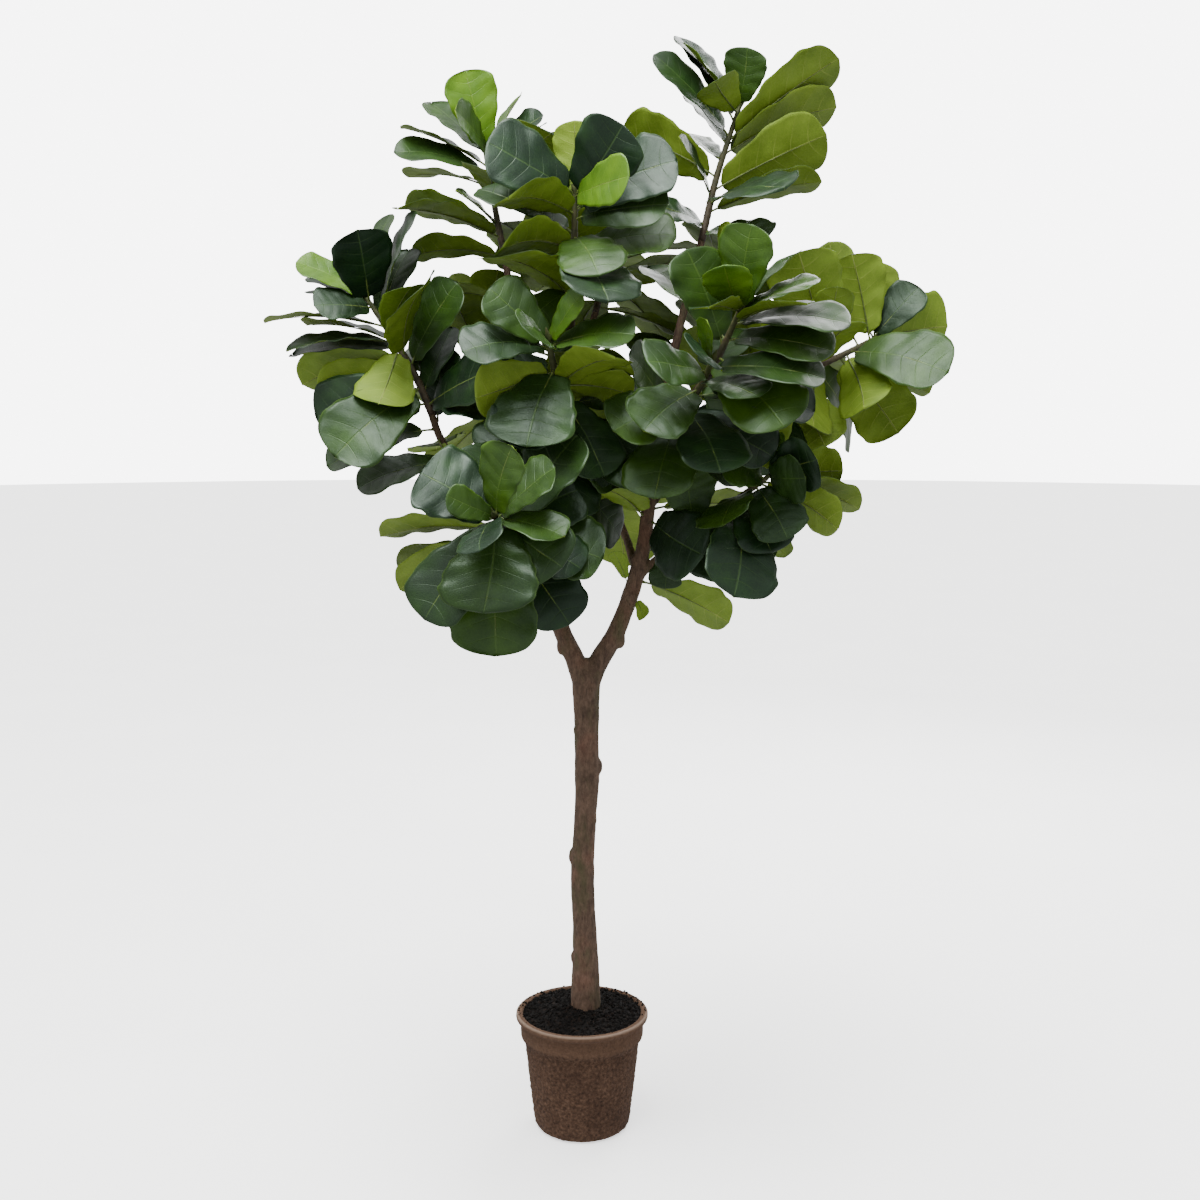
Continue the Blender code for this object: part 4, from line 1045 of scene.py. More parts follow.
def lay_blade(flat, leaf):
    """A copy of the flat blade, laid along this leaf's midrib: cupped, quilted, and rippled at its edge."""
    across, along, level = vertices(flat.data).T
    quilt = np.empty(len(across))
    flat.data.attributes["quilt"].data.foreach_get("value", quilt)
    centre, normal, side = midrib(leaf, PETIOLE_SHARE + (1 - PETIOLE_SHARE) * along)
    half = leaf["width"] / 2
    size = min(1.0, leaf["width"] / FULL_GROWN)
    out = np.abs(across)
    number = leaf["number"]
    phase = luck(number, 0) * math.tau + np.where(across > 0, luck(number, 1) * 4, 0)
    waves = RIPPLES[0] + RIPPLES[1] * luck(number, 2)
    rise = np.clip(along * 4, 0, 1) * np.clip((1 - along) * 6, 0.25, 1)
    ripple = WAVE * half * out**2.2 * np.sin(math.tau * waves * along + phase) * rise
    curl = half * (luck(number, 3) - 0.45) * CURL * out**2 * along
    scallop = 1 + SCALLOP * out**3 * np.sin(math.tau * (waves * 1.7) * along + phase * 1.3) * rise
    x = across * half * outline(along) * scallop
    cup = np.abs(x) * BLADE_CUP
    skin = BLADE_THICK * (1 - 0.4 * out) * level / FLAT_SKIN
    length = np.linalg.norm(leaf["reach"])
    spread = np.column_stack((x, along * length, np.zeros(len(x))))
    bulge = BULGE * size * lumps(spread, BULGE_SIZE, number) * np.clip((1 - along) * 8, 0, 1)
    height = cup + ripple + curl + bulge + QUILT * size * quilt + skin
    x = x + sway(leaf, along)
    return copy_of(flat, centre + side * x[:, None] + normal * height[:, None], "blade")


def lay_rib(rod, leaf):
    """The stalk and, running on under the blade, its tapering midrib."""
    along, share = np.array(RIB_PROFILE).T
    radius = STALK_RADIUS * share * min(1.0, leaf["width"] / 0.11)
    centre, normal, side = midrib(leaf, PETIOLE_SHARE + (1 - PETIOLE_SHARE) * along)
    sink = np.where(along < 0, 0.0, radius * 0.62 + 0.0002)
    centre = centre - normal * sink[:, None] + side * sway(leaf, along)[:, None]
    if leaf["bark"] is not None:
        centre[0] = np.array(leaf["root"] - leaf["bark"] * STALK_INTO_BARK)
    return lay_rod(rod, "rib", centre, normal, side, radius)


def leaf_tone(name, place, leaf):
    """0 for an old dark leaf to 1 for the youngest."""
    return YOUNG.get(name, {}).get(place, OLD_TONE * luck(leaf["number"], 5) ** 2)


def fine_leaf(flat, rod, leaf, tone):
    made = joined([lay_blade(flat, leaf), lay_rib(rod, leaf)], "leaf")
    give_tone(made, tone)
    return made


# ---- Green shoots ----
def make_stem(branch):
    """A shoot's green stem, ringed by leaf scars, and its bud."""
    points, wood = BRANCHES[branch]
    start, end = wood - 1, len(points) - 1
    spots = [at(points, start + (end - start) * step / 40)[0] for step in range(41)]
    length = sum((after - before).length for before, after in zip(spots, spots[1:]))
    steps = max(12, round(length / STEM_STEP))
    positions = [start + (end - start) * step / steps for step in range(steps + 1)]
    centres, radii = map(list, zip(*(at(points, position) for position in positions)))
    ways = [heading(points, position) for position in positions]
    centres[0] = centres[0] - ways[0] * STEM_INTO_WOOD
    for step in range(1, steps + 1):
        scar = 0.5 + 0.5 * math.cos(math.tau * length * step / steps / SCAR_SPACING)
        radii[step] *= 1 + SCAR_SWELL * scar**6
    tip = centres[-1]
    for share, width in BUD_PROFILE:
        centres.append(tip + ways[-1] * BUD_LENGTH * share)
        radii.append(radii[steps] * width)
    ways += [ways[-1]] * len(BUD_PROFILE)
    sides = np.array([across(way) for way in ways])
    ups = np.cross(sides, np.array(ways))
    rod = make_rod(STEM_SIDES_FINE, len(centres) - 2)
    stem = lay_rod(rod, branch + "_stem", np.array(centres), ups, sides, np.array(radii))
    ring_number = np.rint(vertices(rod.data)[:, 2] * (len(centres) - 1))
    give_tone(stem, np.clip(ring_number / steps, 0, 1))
    slots = [1 if max(ring_number[list(face.vertices)]) > steps else 0 for face in rod.data.polygons]
    stem.data.polygons.foreach_set("material_index", slots)
    bpy.data.objects.remove(rod, do_unlink=True)
    scales = [bud_scale(tip, ways[-1], radii[steps], number) for number in range(3)]
    return joined([stem, *scales], branch + "_stem")


def bud_scale(tip, way, radius, number):
    """A dry papery scale that stands off the bud's foot."""
    foot, length = radius * BUD_SCALE_FOOT, BUD_SCALE_LENGTH
    bpy.ops.mesh.primitive_cone_add(vertices=8, radius1=foot, radius2=0.0004, depth=length)
    scale = bpy.context.object
    out = Matrix.Rotation(math.tau * number / 3 + 0.6, 3, way) @ across(way)
    lean = (way + out * 0.30).normalized()
    flat = (out - lean * lean.dot(out)).normalized()
    turn = Matrix((lean.cross(flat), flat, lean)).transposed().to_4x4()
    place = Matrix.Translation(tip + lean * 0.011 + out * radius * BUD_SCALE_FOOT)
    scale.matrix_world = place @ turn @ Matrix.Diagonal((1.0, 0.28, 1.0, 1.0))
    grounded(scale)
    give_tone(scale, 1.0)
    scale.data.materials.clear()
    scale.data.polygons.foreach_set("material_index", [1] * len(scale.data.polygons))
    return scale


# ---- Materials ----
def patterns(material, *kinds):
    """Noise patterns. Each kind: how far it is squeezed upright (under 1, drawn out), how many lumps it has
    to the metre, its detail and its roughness."""
    place = add(material, "TexCoord").outputs["Object"]
    found = []
    for squeeze, scale, detail, rough in kinds:
        spread = add(material, "Mapping", {"Vector": place, "Scale": (1.0, 1.0, squeeze)})
        looks = {"Vector": spread, "Scale": scale, "Detail": detail, "Roughness": rough}
        found.append(add(material, "TexNoise", looks))
    return found


def aged(material, pattern, old, young):
    """How young each point is, and its colour: the pattern's, from the ramp for old to the ramp for young."""
    tone = add(material, "Attribute", attribute_name="tone").outputs["Fac"]
    old, young = (add(material, "ValToRGB", {"Fac": pattern}, stops=stops) for stops in (old, young))
    return tone, add(material, "Mix", {"Factor": tone, "A": old, "B": young}, data_type="RGBA")


def tinted(material, colour, tint, pattern, start, end, most=1.0):
    """Lays a tint over a colour where the pattern's value runs from start to end."""
    share = {"Value": pattern, "From Min": start, "From Max": end, "To Max": most}
    share = add(material, "MapRange", share)
    return add(material, "Mix", {"Factor": share, "A": colour, "B": tint}, data_type="RGBA")


def vein_pattern(leaf):
    """The blade's veins on its own map, each from 0 to 1: midrib, side veins, fine net and margin."""
    chart = add(leaf, "UVMap", uv_map="UVMap")
    parts = add(leaf, "SeparateXYZ", {"Vector": chart})
    off_centre = add(leaf, "Math", {0: parts.outputs["X"], 1: 0.5}, operation="SUBTRACT")
    aside = add(leaf, "Math", {0: off_centre}, operation="ABSOLUTE")
    middle = add(leaf, "MapRange", {"Value": aside, "From Min": 0.017, "From Max": 0.007})
    margin = add(leaf, "MapRange", {"Value": aside, "From Min": 0.478, "From Max": 0.497})
    turns = {0: parts.outputs["Y"], 1: math.tau * LATERALS}
    wave = add(leaf, "Math", {0: add(leaf, "Math", turns, operation="MULTIPLY")}, operation="COSINE")
    # A side vein is about 1.5 mm wide and thins out to the margin.
    thin = add(leaf, "MapRange", {"Value": aside, "From Max": 0.5, "To Min": 0.968, "To Max": 0.996})
    ridge = add(leaf, "MapRange", {"Value": wave, "From Min": thin, "From Max": 1.0})
    fade = add(leaf, "MapRange", {"Value": aside, "From Min": 0.49, "From Max": 0.10})
    lateral = add(leaf, "Math", {0: ridge, 1: fade}, operation="MULTIPLY")
    # The net of small veins has cells near 6 mm on a blade 120 mm wide and 200 mm long.
    net_chart = add(leaf, "Mapping", {"Vector": chart, "Scale": (20.0, 34.0, 1.0)})
    cells = {"Vector": net_chart, "Scale": 1.0}
    cells = add(leaf, "TexVoronoi", cells, feature="DISTANCE_TO_EDGE")
    net = add(leaf, "MapRange", {"Value": cells, "From Min": 0.11, "From Max": 0.02})
    return middle, lateral, net, margin


def waxy_leaf_upper():
    """Living leaf, upper face: deep green with paler veins under a soft broad shine from its waxy skin."""
    leaf = blank("waxy_leaf_upper")
    # Cloudy patches about 60 mm across, and dull patches in the wax, near 12 mm.
    cloud, wax = patterns(leaf, (1.0, 16.0, 3.0, 0.5), (1.0, 85.0, 2.0, 0.5))
    old = ((0.30, "#07150b"), (0.52, "#0b1f0e"), (0.74, "#16300f"))
    young = ((0.30, "#3a5d07"), (0.70, "#5c810f"))
    tone, flesh = aged(leaf, cloud, old, young)
    middle, lateral, net, margin = vein_pattern(leaf)
    pale = add(leaf, "Mix", {"Factor": tone, "A": "#3c5426", "B": "#6d8a24"}, data_type="RGBA")
    veins = 0.0
    for vein, strength in ((lateral, 0.28), (middle, 0.45), (net, 0.07), (margin, 0.45)):
        share = add(leaf, "Math", {0: vein, 1: strength}, operation="MULTIPLY")
        veins = add(leaf, "Math", {0: veins, 1: share}, operation="MAXIMUM")
    colour = add(leaf, "Mix", {"Factor": veins, "A": flesh, "B": pale}, data_type="RGBA")
    dull = {"Value": wax, "From Min": 0.3, "From Max": 0.7, "To Min": 0.37, "To Max": 0.45}
    dull = add(leaf, "MapRange", dull)
    sunk = add(leaf, "Math", {0: net, 1: -0.15, 2: 1.0}, operation="MULTIPLY_ADD")
    for vein in (lateral, middle):
        sunk = add(leaf, "Math", {0: sunk, 1: vein}, operation="SUBTRACT")
    # The wax tints the shine blue-green.
    tint = {"Specular Tint": "#d6ebdc"}
    return finished(leaf, colour, dull, sunk, strength=0.45, depth=0.0010, specular=0.42, others=tint)


def leaf_underside():
    """Living leaf, underside: matte olive, with a raised and paler net of veins."""
    leaf = blank("leaf_underside")
    # Cloudy patches about 70 mm across.
    cloud, = patterns(leaf, (1.0, 14.0, 3.0, 0.5))
    old = ((0.30, "#5c7416"), (0.70, "#79922a"))
    young = ((0.30, "#597a14"), (0.70, "#709222"))
    _, flesh = aged(leaf, cloud, old, young)
    middle, lateral, net, _ = vein_pattern(leaf)
    veins = add(leaf, "Math", {0: net, 1: 0.15, 2: middle}, operation="MULTIPLY_ADD")
    veins = {0: lateral, 1: 0.6, 2: veins}
    veins = add(leaf, "Math", veins, operation="MULTIPLY_ADD", use_clamp=True)
    share = add(leaf, "Math", {0: veins, 1: 0.7}, operation="MULTIPLY")
    colour = add(leaf, "Mix", {"Factor": share, "A": flesh, "B": "#9aa84a"}, data_type="RGBA")
    return finished(leaf, colour, 0.62, veins, strength=0.5, depth=0.0012, specular=0.30)


def leaf_stalk():
    """Leaf stalk and midrib: smooth, pale green, with brownish flecks."""
    stalk = blank("leaf_stalk")
    # Flecks near 8 mm.
    fleck, = patterns(stalk, (1.0, 120.0, 2.0, 0.5))
    stops = ((0.35, "#48561f"), (0.60, "#5f6f2e"), (0.75, "#544726"))
    colour = add(stalk, "ValToRGB", {"Fac": fleck}, stops=stops)
    return finished(stalk, colour, 0.5, fleck, strength=0.2, depth=0.0008)


def green_shoot_skin():
    """A shoot turning woody: brown cork at its foot, olive skin at its tip, fine wrinkles along it."""
    skin = blank("green_shoot_skin")
    # Cork patches near 15 mm, wrinkles near 2 mm across and 12 mm long.
    patch, wrinkle = patterns(skin, (1.0, 60.0, 5.0, 0.5), (0.18, 420.0, 3.0, 0.5))
    cork = ((0.36, "#33261c"), (0.55, "#4a392b"), (0.70, "#3d2a20"))
    green = ((0.36, "#38421a"), (0.55, "#4b5324"), (0.72, "#493b24"))
    _, colour = aged(skin, patch, cork, green)
    shade = add(skin, "Math", {0: wrinkle, 1: 0.35}, operation="MULTIPLY")
    colour = add(skin, "Mix", {"Factor": shade, "A": colour, "B": "#201811"}, data_type="RGBA")
    return finished(skin, colour, 0.68, wrinkle, strength=0.5, depth=0.0008)


def bud_sheath():
    """The papery sheath over a growing tip: reddish brown with pale streaks along it."""
    sheath = blank("bud_sheath")
    # Streaks near 4 mm wide, five times as long.
    streak, = patterns(sheath, (0.2, 260.0, 3.0, 0.5))
    stops = ((0.30, "#4b2219"), (0.52, "#6f4230"), (0.72, "#94705a"))
    colour = add(sheath, "ValToRGB", {"Fac": streak}, stops=stops)
    return finished(sheath, colour, 0.55, streak, strength=0.4, depth=0.0008)


def fig_bark():
    """Young fig bark: dull grey brown, redder in patches, olive with algae, finely cracked lengthwise."""
    bark = blank("fig_bark")
    # Patches near 70 mm, mottling near 9 mm, cracks near 3 mm wide and five times as long, algae near 50 mm.
    patch, mottle, crack, algae = patterns(
        bark, (1.0, 14.0, 4.0, 0.5), (0.45, 110.0, 6.0, 0.7), (0.2, 330.0, 5.0, 0.65), (0.45, 20.0, 5.0, 0.6)
    )
    ground = ((0.34, "#46352a"), (0.50, "#5b473a"), (0.66, "#664639"))
    grain = ((0.34, "#2b1f18"), (0.50, "#5c4a3c"), (0.68, "#7e6756"))
    ground = add(bark, "ValToRGB", {"Fac": patch}, stops=ground)
    grain = add(bark, "ValToRGB", {"Fac": mottle}, stops=grain)
    colour = add(bark, "Mix", {"Factor": 0.45, "A": ground, "B": grain}, data_type="RGBA")
    colour = tinted(bark, colour, "#43462a", algae, 0.50, 0.66, 0.6)
    colour = tinted(bark, colour, "#19120e", crack, 0.44, 0.28, 0.65)
    height = add(bark, "Math", {0: mottle, 1: 0.8, 2: crack}, operation="MULTIPLY_ADD")
    return finished(bark, colour, 0.82, height, strength=0.8, depth=0.0022, specular=0.3)


def pressed_fibre():
    """Pressed plant fibre: coarse matte brown pulp, with pale and dark strands and a painted highlight on the
    top of its lip.
    """
    pulp = blank("pressed_fibre")
    # Clumps near 7 mm and strands near 4 mm long and 2 mm high, coarser than real ones so that they show, and
    # damp patches near 80 mm.
    clump, strand, damp = patterns(
        pulp, (1.0, 150.0, 6.0, 0.65), (2.2, 240.0, 5.0, 0.7), (1.0, 12.0, 3.0, 0.5)
    )
    stops = ((0.28, "#2e211a"), (0.48, "#503b2e"), (0.70, "#6e5544"))
    colour = add(pulp, "ValToRGB", {"Fac": clump}, stops=stops)
    colour = tinted(pulp, colour, "#7d6450", strand, 0.56, 0.70, 0.55)
    colour = tinted(pulp, colour, "#2a1812", damp, 0.50, 0.70, 0.4)
    # The band under the rim is paler, and the outer few millimetres of the lip's top face are painted paler,
    # a painted highlight.
    place = add(pulp, "TexCoord").outputs["Object"]
    height = add(pulp, "SeparateXYZ", {"Vector": place}).outputs["Z"]
    colour = tinted(pulp, colour, "#6a5241", height, BAND_FOOT, BAND_FOOT + 0.008, 0.5)
    # Painted highlight: the outer part of the lip's top face is painted paler, as if lit from above.
    top = {"Value": height, "From Min": POT_HEIGHT - 0.005, "From Max": POT_HEIGHT - 0.001}
    top = add(pulp, "MapRange", {**top, "To Max": 0.85})
    flat = add(pulp, "Mapping", {"Vector": place, "Scale": (1.0, 1.0, 0.0)})
    away = add(pulp, "VectorMath", {"Vector": flat}, operation="LENGTH")
    outer = {"Value": away, "From Min": LIP_RADIUS - 0.007, "From Max": LIP_RADIUS - 0.003}
    lip_top_painted_highlight = {0: top, 1: add(pulp, "MapRange", outer)}
    lip_top_painted_highlight = add(pulp, "Math", lip_top_painted_highlight, operation="MULTIPLY")
    colour = add(pulp, "Mix", {"Factor": lip_top_painted_highlight, "A": colour, "B": "#937f70"}, data_type="RGBA")
    relief = add(pulp, "Math", {0: strand, 1: 0.7, 2: clump}, operation="MULTIPLY_ADD")
    return finished(pulp, colour, 0.93, relief, strength=1.0, depth=0.0042, specular=0.2)


def potting_mix():
    """Peat and composted bark in nearly black crumbs, dry and matte, a few of them brown."""
    mix = blank("potting_mix")
    # Colour changes from crumb to crumb, near 8 mm, with grit near 1.5 mm.
    crumb, grit = patterns(mix, (1.0, 120.0, 2.0, 0.5), (1.0, 700.0, 3.0, 0.7))
    stops = ((0.40, "#080706"), (0.56, "#110e0c"), (0.72, "#251a13"))
    colour = add(mix, "ValToRGB", {"Fac": crumb}, stops=stops)
    share = add(mix, "Math", {0: grit, 1: 0.25}, operation="MULTIPLY")
    colour = add(mix, "Mix", {"Factor": share, "A": colour, "B": "#1d1916"}, data_type="RGBA")
    return finished(mix, colour, 0.9, grit, strength=0.7, depth=0.0015, specular=0.15)


def studio_floor():
    """White acrylic lit from below: pale and even, with the faintest mottling, near half a metre."""
    board = blank("studio_floor")
    cloud, = patterns(board, (1.0, 2.0, 2.0, 0.5))
    colour = add(board, "ValToRGB", {"Fac": cloud}, stops=((0.3, "#f2f2f1"), (0.7, "#f6f6f5")))
    glow = {"Emission Color": "#ffffff", "Emission Strength": FLOOR_GLOW}
    return finished(board, colour, 0.9, cloud, strength=0.02, depth=0.001, others=glow)


# ---- Bark ----
# Knots and old branch scars: height, angle round the trunk from the right (90 is the back), size
KNOTS = (
    (0.385, 178, 0.0080), (0.47, 250, 0.009), (0.615, 172, 0.0110), (0.70, 320, 0.010), (0.79, 40, 0.010),
    (0.825, 5, 0.0105), (0.90, 215, 0.010), (0.97, 120, 0.011), (0.98, 290, 0.009),
)
# Knots on the limbs: branch, share of its wood, way out, size
LIMB_KNOTS = (
    ("crown_shoot", 0.20, (-1, -0.2, 0), 0.0105),
    ("right_shoot", 0.22, (1, -0.2, -0.2), 0.0105),
    ("right_shoot", 0.36, (0.4, -1, 0), 0.0085),
    ("right_shoot", 0.47, (-1, -0.4, 0), 0.0080),
    ("crown_shoot", 0.42, (0.3, -1, 0), 0.0080),
    ("crown_shoot", 0.58, (1, 0.2, 0), 0.0075),
)
KNOT_SUNK = 0.4  # how deep a knot's middle lies under the bark, as a share of its size
KNOT_STRETCH = 1.8
BARK_VOXEL = 0.0034
BARK_SWELL = 0.0006  # makes up for what softening takes away
# Heaves, ridges and grain: depth, size across, and how much they are drawn out along the wood
BARK_RELIEF = ((0.0012, 0.055, 1), (0.0011, 0.011, 0.3), (0.0006, 0.0065, 0.5))
# How strongly the bark is roughened at each height: thick wood more than thin
BARK_HEIGHTS = (0.2, 1.1, 1.5, 1.9)
BARK_SHARES = (1.0, 0.8, 0.45, 0.3)


def merged_copy(node_name, title):
    """A copy of a CAD node with its loose triangles merged."""
    copy = placed(title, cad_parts[node_name].data.copy())
    copy.data.materials.clear()
    only(copy)
    bpy.ops.object.mode_set(mode="EDIT")
    bpy.ops.mesh.select_all(action="SELECT")
    bpy.ops.mesh.remove_doubles(threshold=0.00002)
    bpy.ops.mesh.normals_make_consistent(inside=False)
    bpy.ops.object.mode_set(mode="OBJECT")
    return copy


def softened(piece, passes):
    smoothing = piece.modifiers.new("soften", "SMOOTH")
    smoothing.iterations = passes
    return apply_all(piece)


def remeshed(piece, voxel, passes):
    """An even skin over the whole piece, softened by a few passes."""
    only(piece)
    piece.data.remesh_voxel_size = voxel
    bpy.ops.object.voxel_remesh()
    return softened(piece, passes)


def roughened(piece, places, height, material):
    """Moves each point outwards from its place by its own height, and gives the piece its material."""
    move_vertices(piece.data, places + vertices(piece.data, "normal") * height[:, None])
    piece.data.materials.append(material)
    piece.data.shade_smooth()
    return piece


def knot(centre, out, radius, size):
    """A round lump of bark, to melt into the wood."""
    place = centre + Vector(out).normalized() * (radius - size * KNOT_SUNK)
    bpy.ops.mesh.primitive_uv_sphere_add(segments=16, ring_count=10, radius=size, location=place)
    bpy.ops.transform.resize(value=(1.0, 1.0, KNOT_STRETCH))
    return grounded(bpy.context.object)


def make_bark():
    """The trunk and limbs as one grown surface, lumpy and ridged lengthwise, with its knots melted in."""
    swellings = []
    spots = [at(TRUNK, (len(TRUNK) - 1) * step / 60) for step in range(61)]
    for height, angle, size in KNOTS:
        centre, radius = min(spots, key=lambda spot: abs(spot[0].z - height))
        turn = math.radians(angle)
        swellings.append(knot(centre, (math.cos(turn), math.sin(turn), 0.0), radius, size))
    for branch, share, out, size in LIMB_KNOTS:
        points, wood = BRANCHES[branch]
        centre, radius = at(points, share * (wood - 1))
        swellings.append(knot(centre, out, radius, size))
    bark = joined([merged_copy("trunk_and_branches", "bark"), *swellings], "bark")
    remeshed(bark, BARK_VOXEL, 9)
    places = vertices(bark.data)
    strength = np.interp(places[:, 2], BARK_HEIGHTS, BARK_SHARES)
    height = BARK_SWELL
    for seed, (depth, size, drawn_out) in enumerate(BARK_RELIEF, 1):
        height = height + depth * lumps(places * (1, 1, drawn_out), size, seed) * strength
    return roughened(bark, places, height, fig_bark())


# ---- Pot ----
POT_VOXEL = 0.0026
PULP_ROUGH = 0.0016
PULP_CLUMP = 0.0014
ROUGH_FROM = 0.09  # nearer to its middle than this the pot stays smooth, and so does its very foot
# How rough it is at each height: less on its collar and lip
PULP_HEIGHTS = (0.0, 0.19, 0.215, 0.245, 0.262)
PULP_SHARES = (1.0, 1.0, 0.5, 0.35, 0.25)


def make_fibre_pot():
    """The pot: round and true, then roughened as pulp dries."""
    pot = merged_copy("pot", "fibre_pot")
    remeshed(pot, POT_VOXEL, 1)
    places = vertices(pot.data)
    # The solid has flat sides: this brings them out to the true circle.
    facet = math.tau / TURNED_SIDES
    turn = np.arctan2(places[:, 1], places[:, 0]) % facet - facet / 2
    places[:, :2] *= (np.cos(turn) / math.cos(facet / 2))[:, None]
    move_vertices(pot.data, places)
    places = vertices(softened(pot, 4).data)
    rough = np.abs(lumps(places, 0.013, 5)) * 1.3 - 0.35
    clump = lumps(places, 0.0065, 6)
    away = np.hypot(places[:, 0], places[:, 1])
    outside = np.clip((away - ROUGH_FROM) / 0.01, 0, 1) * np.clip(places[:, 2] / 0.004, 0, 1)
    wall = np.interp(places[:, 2], PULP_HEIGHTS, PULP_SHARES)
    return roughened(pot, places, (PULP_ROUGH * rough + PULP_CLUMP * clump) * outside * wall, pressed_fibre())


# ---- Soil ----
SOIL_VOXEL = 0.004
GRAINS = 2600
SPILT_GRAINS = 80  # on the pot's lip
SPILT_AT = (0.6, 2.6)  # most of them at the back right and the back left
ON_LIP = (0.133, 0.142)  # how far from the pot's middle
LAST_CRUMB = 0.1345  # and how far the other crumbs lie at most
HEAP_ROUGH = 0.0022
HEAP_RISE = 0.0012  # so that the soil's dips stay over its solid
HEAP_FROM = 0.245  # it is rough above this height
HEAP_EDGE = 0.1335  # and up to here, at the pot's wall
HEAP_FADE = 0.006  # over which the roughness starts


def soil_level(away):
    """Height of the heaped soil at a distance from the pot's middle."""
    share = 1 - min(1.0, away / SOIL_EDGE)
    return POT_HEIGHT - SOIL_BELOW_RIM + SOIL_CROWN * math.sin(share * math.pi / 2)


def make_soil_heap():
    """Soil: a rough heaped surface under loose crumbs, a few of them spilt on the pot's lip."""
    soil = merged_copy("soil", "potting_soil")
    remeshed(soil, SOIL_VOXEL, 1)
    places = vertices(soil.data)
    top = np.clip((places[:, 2] - HEAP_FROM) / HEAP_FADE, 0, 1)
    inner = np.clip((HEAP_EDGE - np.hypot(places[:, 0], places[:, 1])) / HEAP_FADE, 0, 1)
    places[:, 2] += (HEAP_ROUGH * lumps(places, 0.011, 8) + HEAP_RISE) * top * inner
    move_vertices(soil.data, places)
    soil.data.shade_smooth()
    soil = joined([soil, make_crumbs()], "potting_soil")
    soil.data.materials.append(potting_mix())
    return soil


def make_crumbs():
    """Loose crumbs of many sizes, each a rough twenty-sided lump, lying in the soil's top."""
    bpy.ops.mesh.primitive_ico_sphere_add(subdivisions=1, radius=1.0)
    crumb = bpy.context.object
    shape = vertices(crumb.data)
    faces = np.array([face.vertices[:] for face in crumb.data.polygons])
    bpy.data.objects.remove(crumb, do_unlink=True)
    draw = np.random.default_rng(11)
    centre, foot = at(TRUNK, 0)
    points = []
    for number in range(GRAINS + SPILT_GRAINS):
        spilt = number >= GRAINS
        angle = draw.normal(draw.choice(SPILT_AT), 0.5) if spilt else draw.uniform(0, math.tau)
        away = draw.uniform(*ON_LIP) if spilt else LAST_CRUMB * math.sqrt(draw.uniform(0.02, 1))
        size = draw.uniform(0.0012, 0.0026) if spilt else draw.uniform(0.0016, 0.0046)
        x, y = away * math.cos(angle), away * math.sin(angle)
        if math.hypot(x - centre.x, y - centre.y) < foot + size * 0.6:
            continue
        level = POT_HEIGHT + size * 0.6 if spilt else soil_level(away) + size * draw.uniform(-0.1, 0.75)
        axis = Vector(draw.normal(size=3)).normalized()
        turn = np.array(Matrix.Rotation(draw.uniform(0, math.tau), 3, axis))
        rough = shape * draw.uniform(0.75, 1.2, (len(shape), 1)) * size * draw.uniform(0.6, 1.25, 3)
        points.append(rough @ turn.T + (x, y, level))
    corners = [faces + number * len(shape) for number in range(len(points))]
    mesh = bpy.data.meshes.new("crumbs")
    mesh.from_pydata(np.concatenate(points).tolist(), [], np.concatenate(corners).tolist())
    return placed("crumbs", mesh)


# ---- Studio ----
FLOOR_GLOW = 1.2
# Lamps: place, width, power. The key stands at the left, one hangs over the crown and one stands behind.
LAMPS = {
    "key": ((-2.4, -3.0, 3.6), 2.4, 22.0),
    "crown": ((-0.25, -0.8, 3.25), 1.4, 50.0),
    "back": ((1.6, 3.2, 3.2), 2.6, 160.0),
}
AIM = Vector((0, 0, 1.4))
OVERHEAD_STRENGTH = 4.8
OVERHEAD_TURN = (math.radians(4), math.radians(-8), 0.0)
ROOM_STRENGTH = 0.9  # of the white room on the plant
BACKDROP_STRENGTH = 7.0  # of the same room as the camera sees it
CAMERA_PLACE = (0.040, -3.1, 1.59)  # at eye height
CAMERA_DOWN = 7.5  # degrees
FOCAL_LENGTH = 43.8  # mm, on a sensor 36 mm wide


def make_floor():
    bpy.ops.mesh.primitive_circle_add(vertices=96, radius=30.0, fill_type="NGON", location=(0, 0, -0.0002))
    floor = grounded(bpy.context.object)
    floor.name = "studio_floor"
    # The room lights the plant from below, so that the bright floor doesn't wash it out.
    floor.visible_diffuse = False
    floor.visible_glossy = False
    floor.data.materials.append(studio_floor())


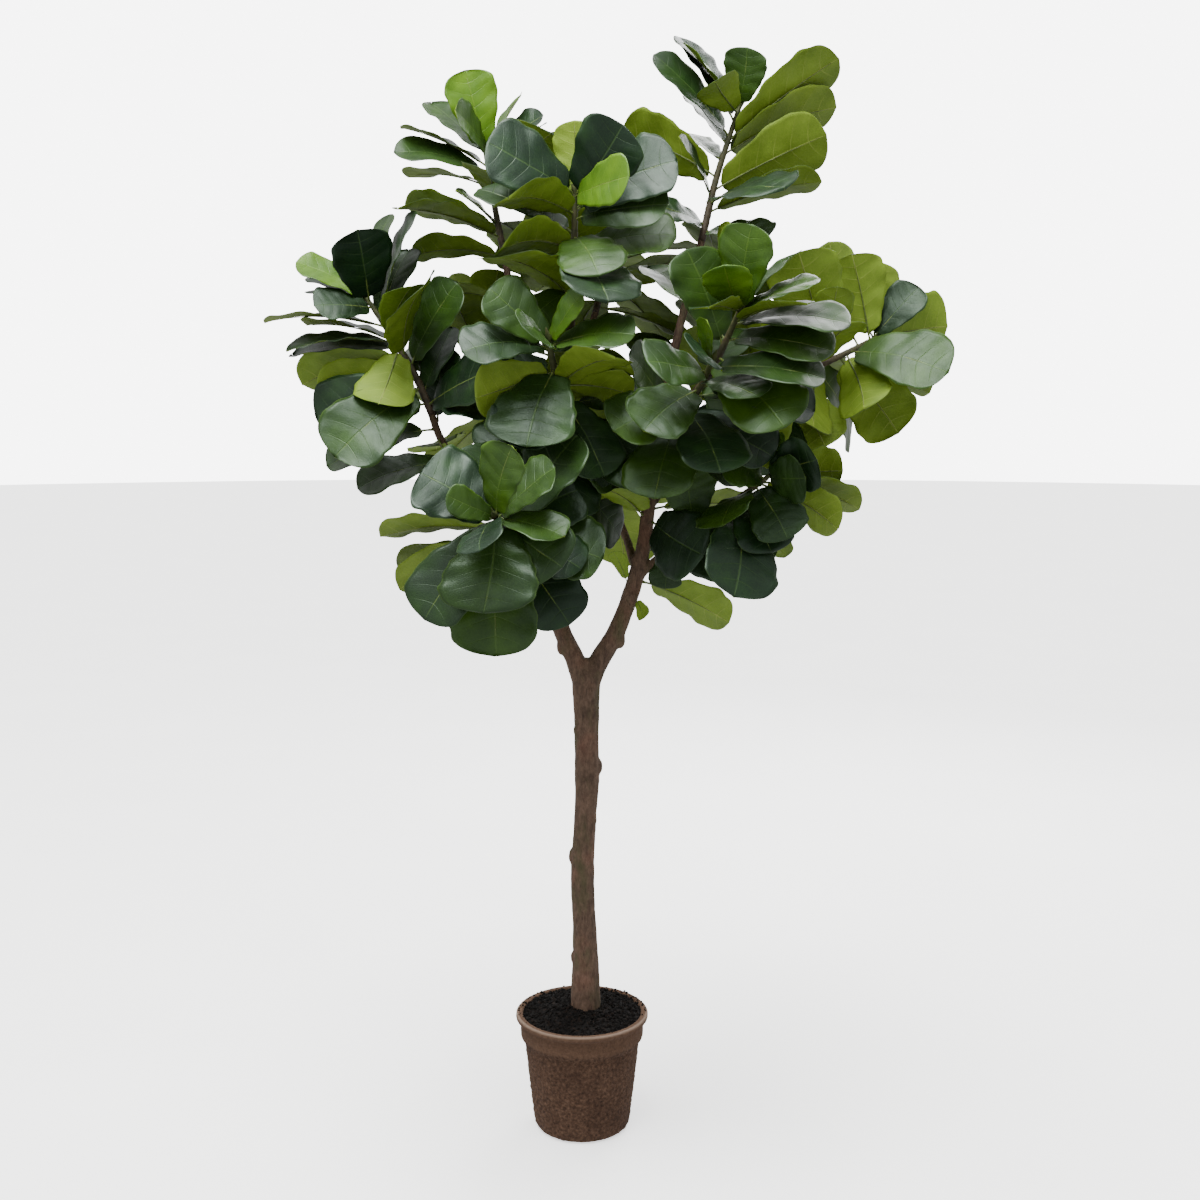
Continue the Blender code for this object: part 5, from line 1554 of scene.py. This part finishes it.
def make_lights():
    """A wide soft light overhead, three round lamps, and a white room all round."""
    for name, (place, width, power) in LAMPS.items():
        lamp = bpy.data.lights.new(name, "AREA")
        lamp.shape, lamp.size, lamp.energy = "DISK", width, power
        turn = (AIM - Vector(place)).to_track_quat("-Z", "Y").to_euler()
        placed(name, lamp, place, turn).visible_camera = False
    overhead = bpy.data.lights.new("overhead", "SUN")
    overhead.energy, overhead.angle = OVERHEAD_STRENGTH, math.radians(45)
    placed("overhead", overhead, turn=OVERHEAD_TURN)
    world = bpy.data.worlds.new("studio")
    world.use_nodes = True
    room = world.node_tree.nodes["Background"]
    seen = add(world, "LightPath").outputs["Is Camera Ray"]
    bright = {"Value": seen, "To Min": ROOM_STRENGTH, "To Max": BACKDROP_STRENGTH}
    feed(world, room.inputs["Color"], "#ffffff")
    feed(world, room.inputs["Strength"], add(world, "MapRange", bright))
    bpy.context.scene.world = world


def make_camera():
    """3.1 m away, looking a little down."""
    lens = bpy.data.cameras.new("camera")
    lens.lens, lens.sensor_width = FOCAL_LENGTH, 36.0
    turn = (math.radians(90 - CAMERA_DOWN), 0.0, 0.0)
    bpy.context.scene.camera = placed("camera", lens, CAMERA_PLACE, turn)


# ---- The whole plant ----
def give_materials(piece, materials):
    """Fills the piece's slots, each face keeping the number of its own."""
    slots = np.empty(len(piece.data.polygons), np.int32)
    piece.data.polygons.foreach_get("material_index", slots)
    piece.data.materials.clear()
    for material in materials:
        piece.data.materials.append(material)
    piece.data.polygons.foreach_set("material_index", slots)
    piece.data.shade_smooth()


def make_foliage():
    """Each shoot's leaves as one piece and its stem as another, and each leaf of the wood as a piece."""
    leaf_slots = [waxy_leaf_upper(), leaf_underside(), leaf_stalk()]
    stem_slots = [green_shoot_skin(), bud_sheath()]
    flat = make_flat_blade()
    rod = make_rod(RIB_SIDES, len(RIB_PROFILE) - 2)
    rod.data.polygons.foreach_set("material_index", [2] * len(rod.data.polygons))
    give_materials(flat, leaf_slots)
    give_materials(rod, leaf_slots)
    number = 0
    for name, group in settled_leaves().items():
        made = []
        for place, leaf in enumerate(group):
            leaf["number"] = number
            made.append(fine_leaf(flat, rod, leaf, leaf_tone(name, place, leaf)))
            number += 1
        leaves = joined(made, name + "_leaves" if name in BRANCHES else "single_" + name)
        if name in BRANCHES:
            stem = make_stem(name)
            give_materials(stem, stem_slots)
            hand_over(stem, name)
        hand_over(leaves, name)
    for model in (flat, rod):
        bpy.data.objects.remove(model, do_unlink=True)


def main():
    make_foliage()
    hand_over(make_bark(), "trunk_and_branches")
    hand_over(make_fibre_pot(), "pot")
    hand_over(make_soil_heap(), "soil")
    make_floor()
    make_lights()
    make_camera()


main()
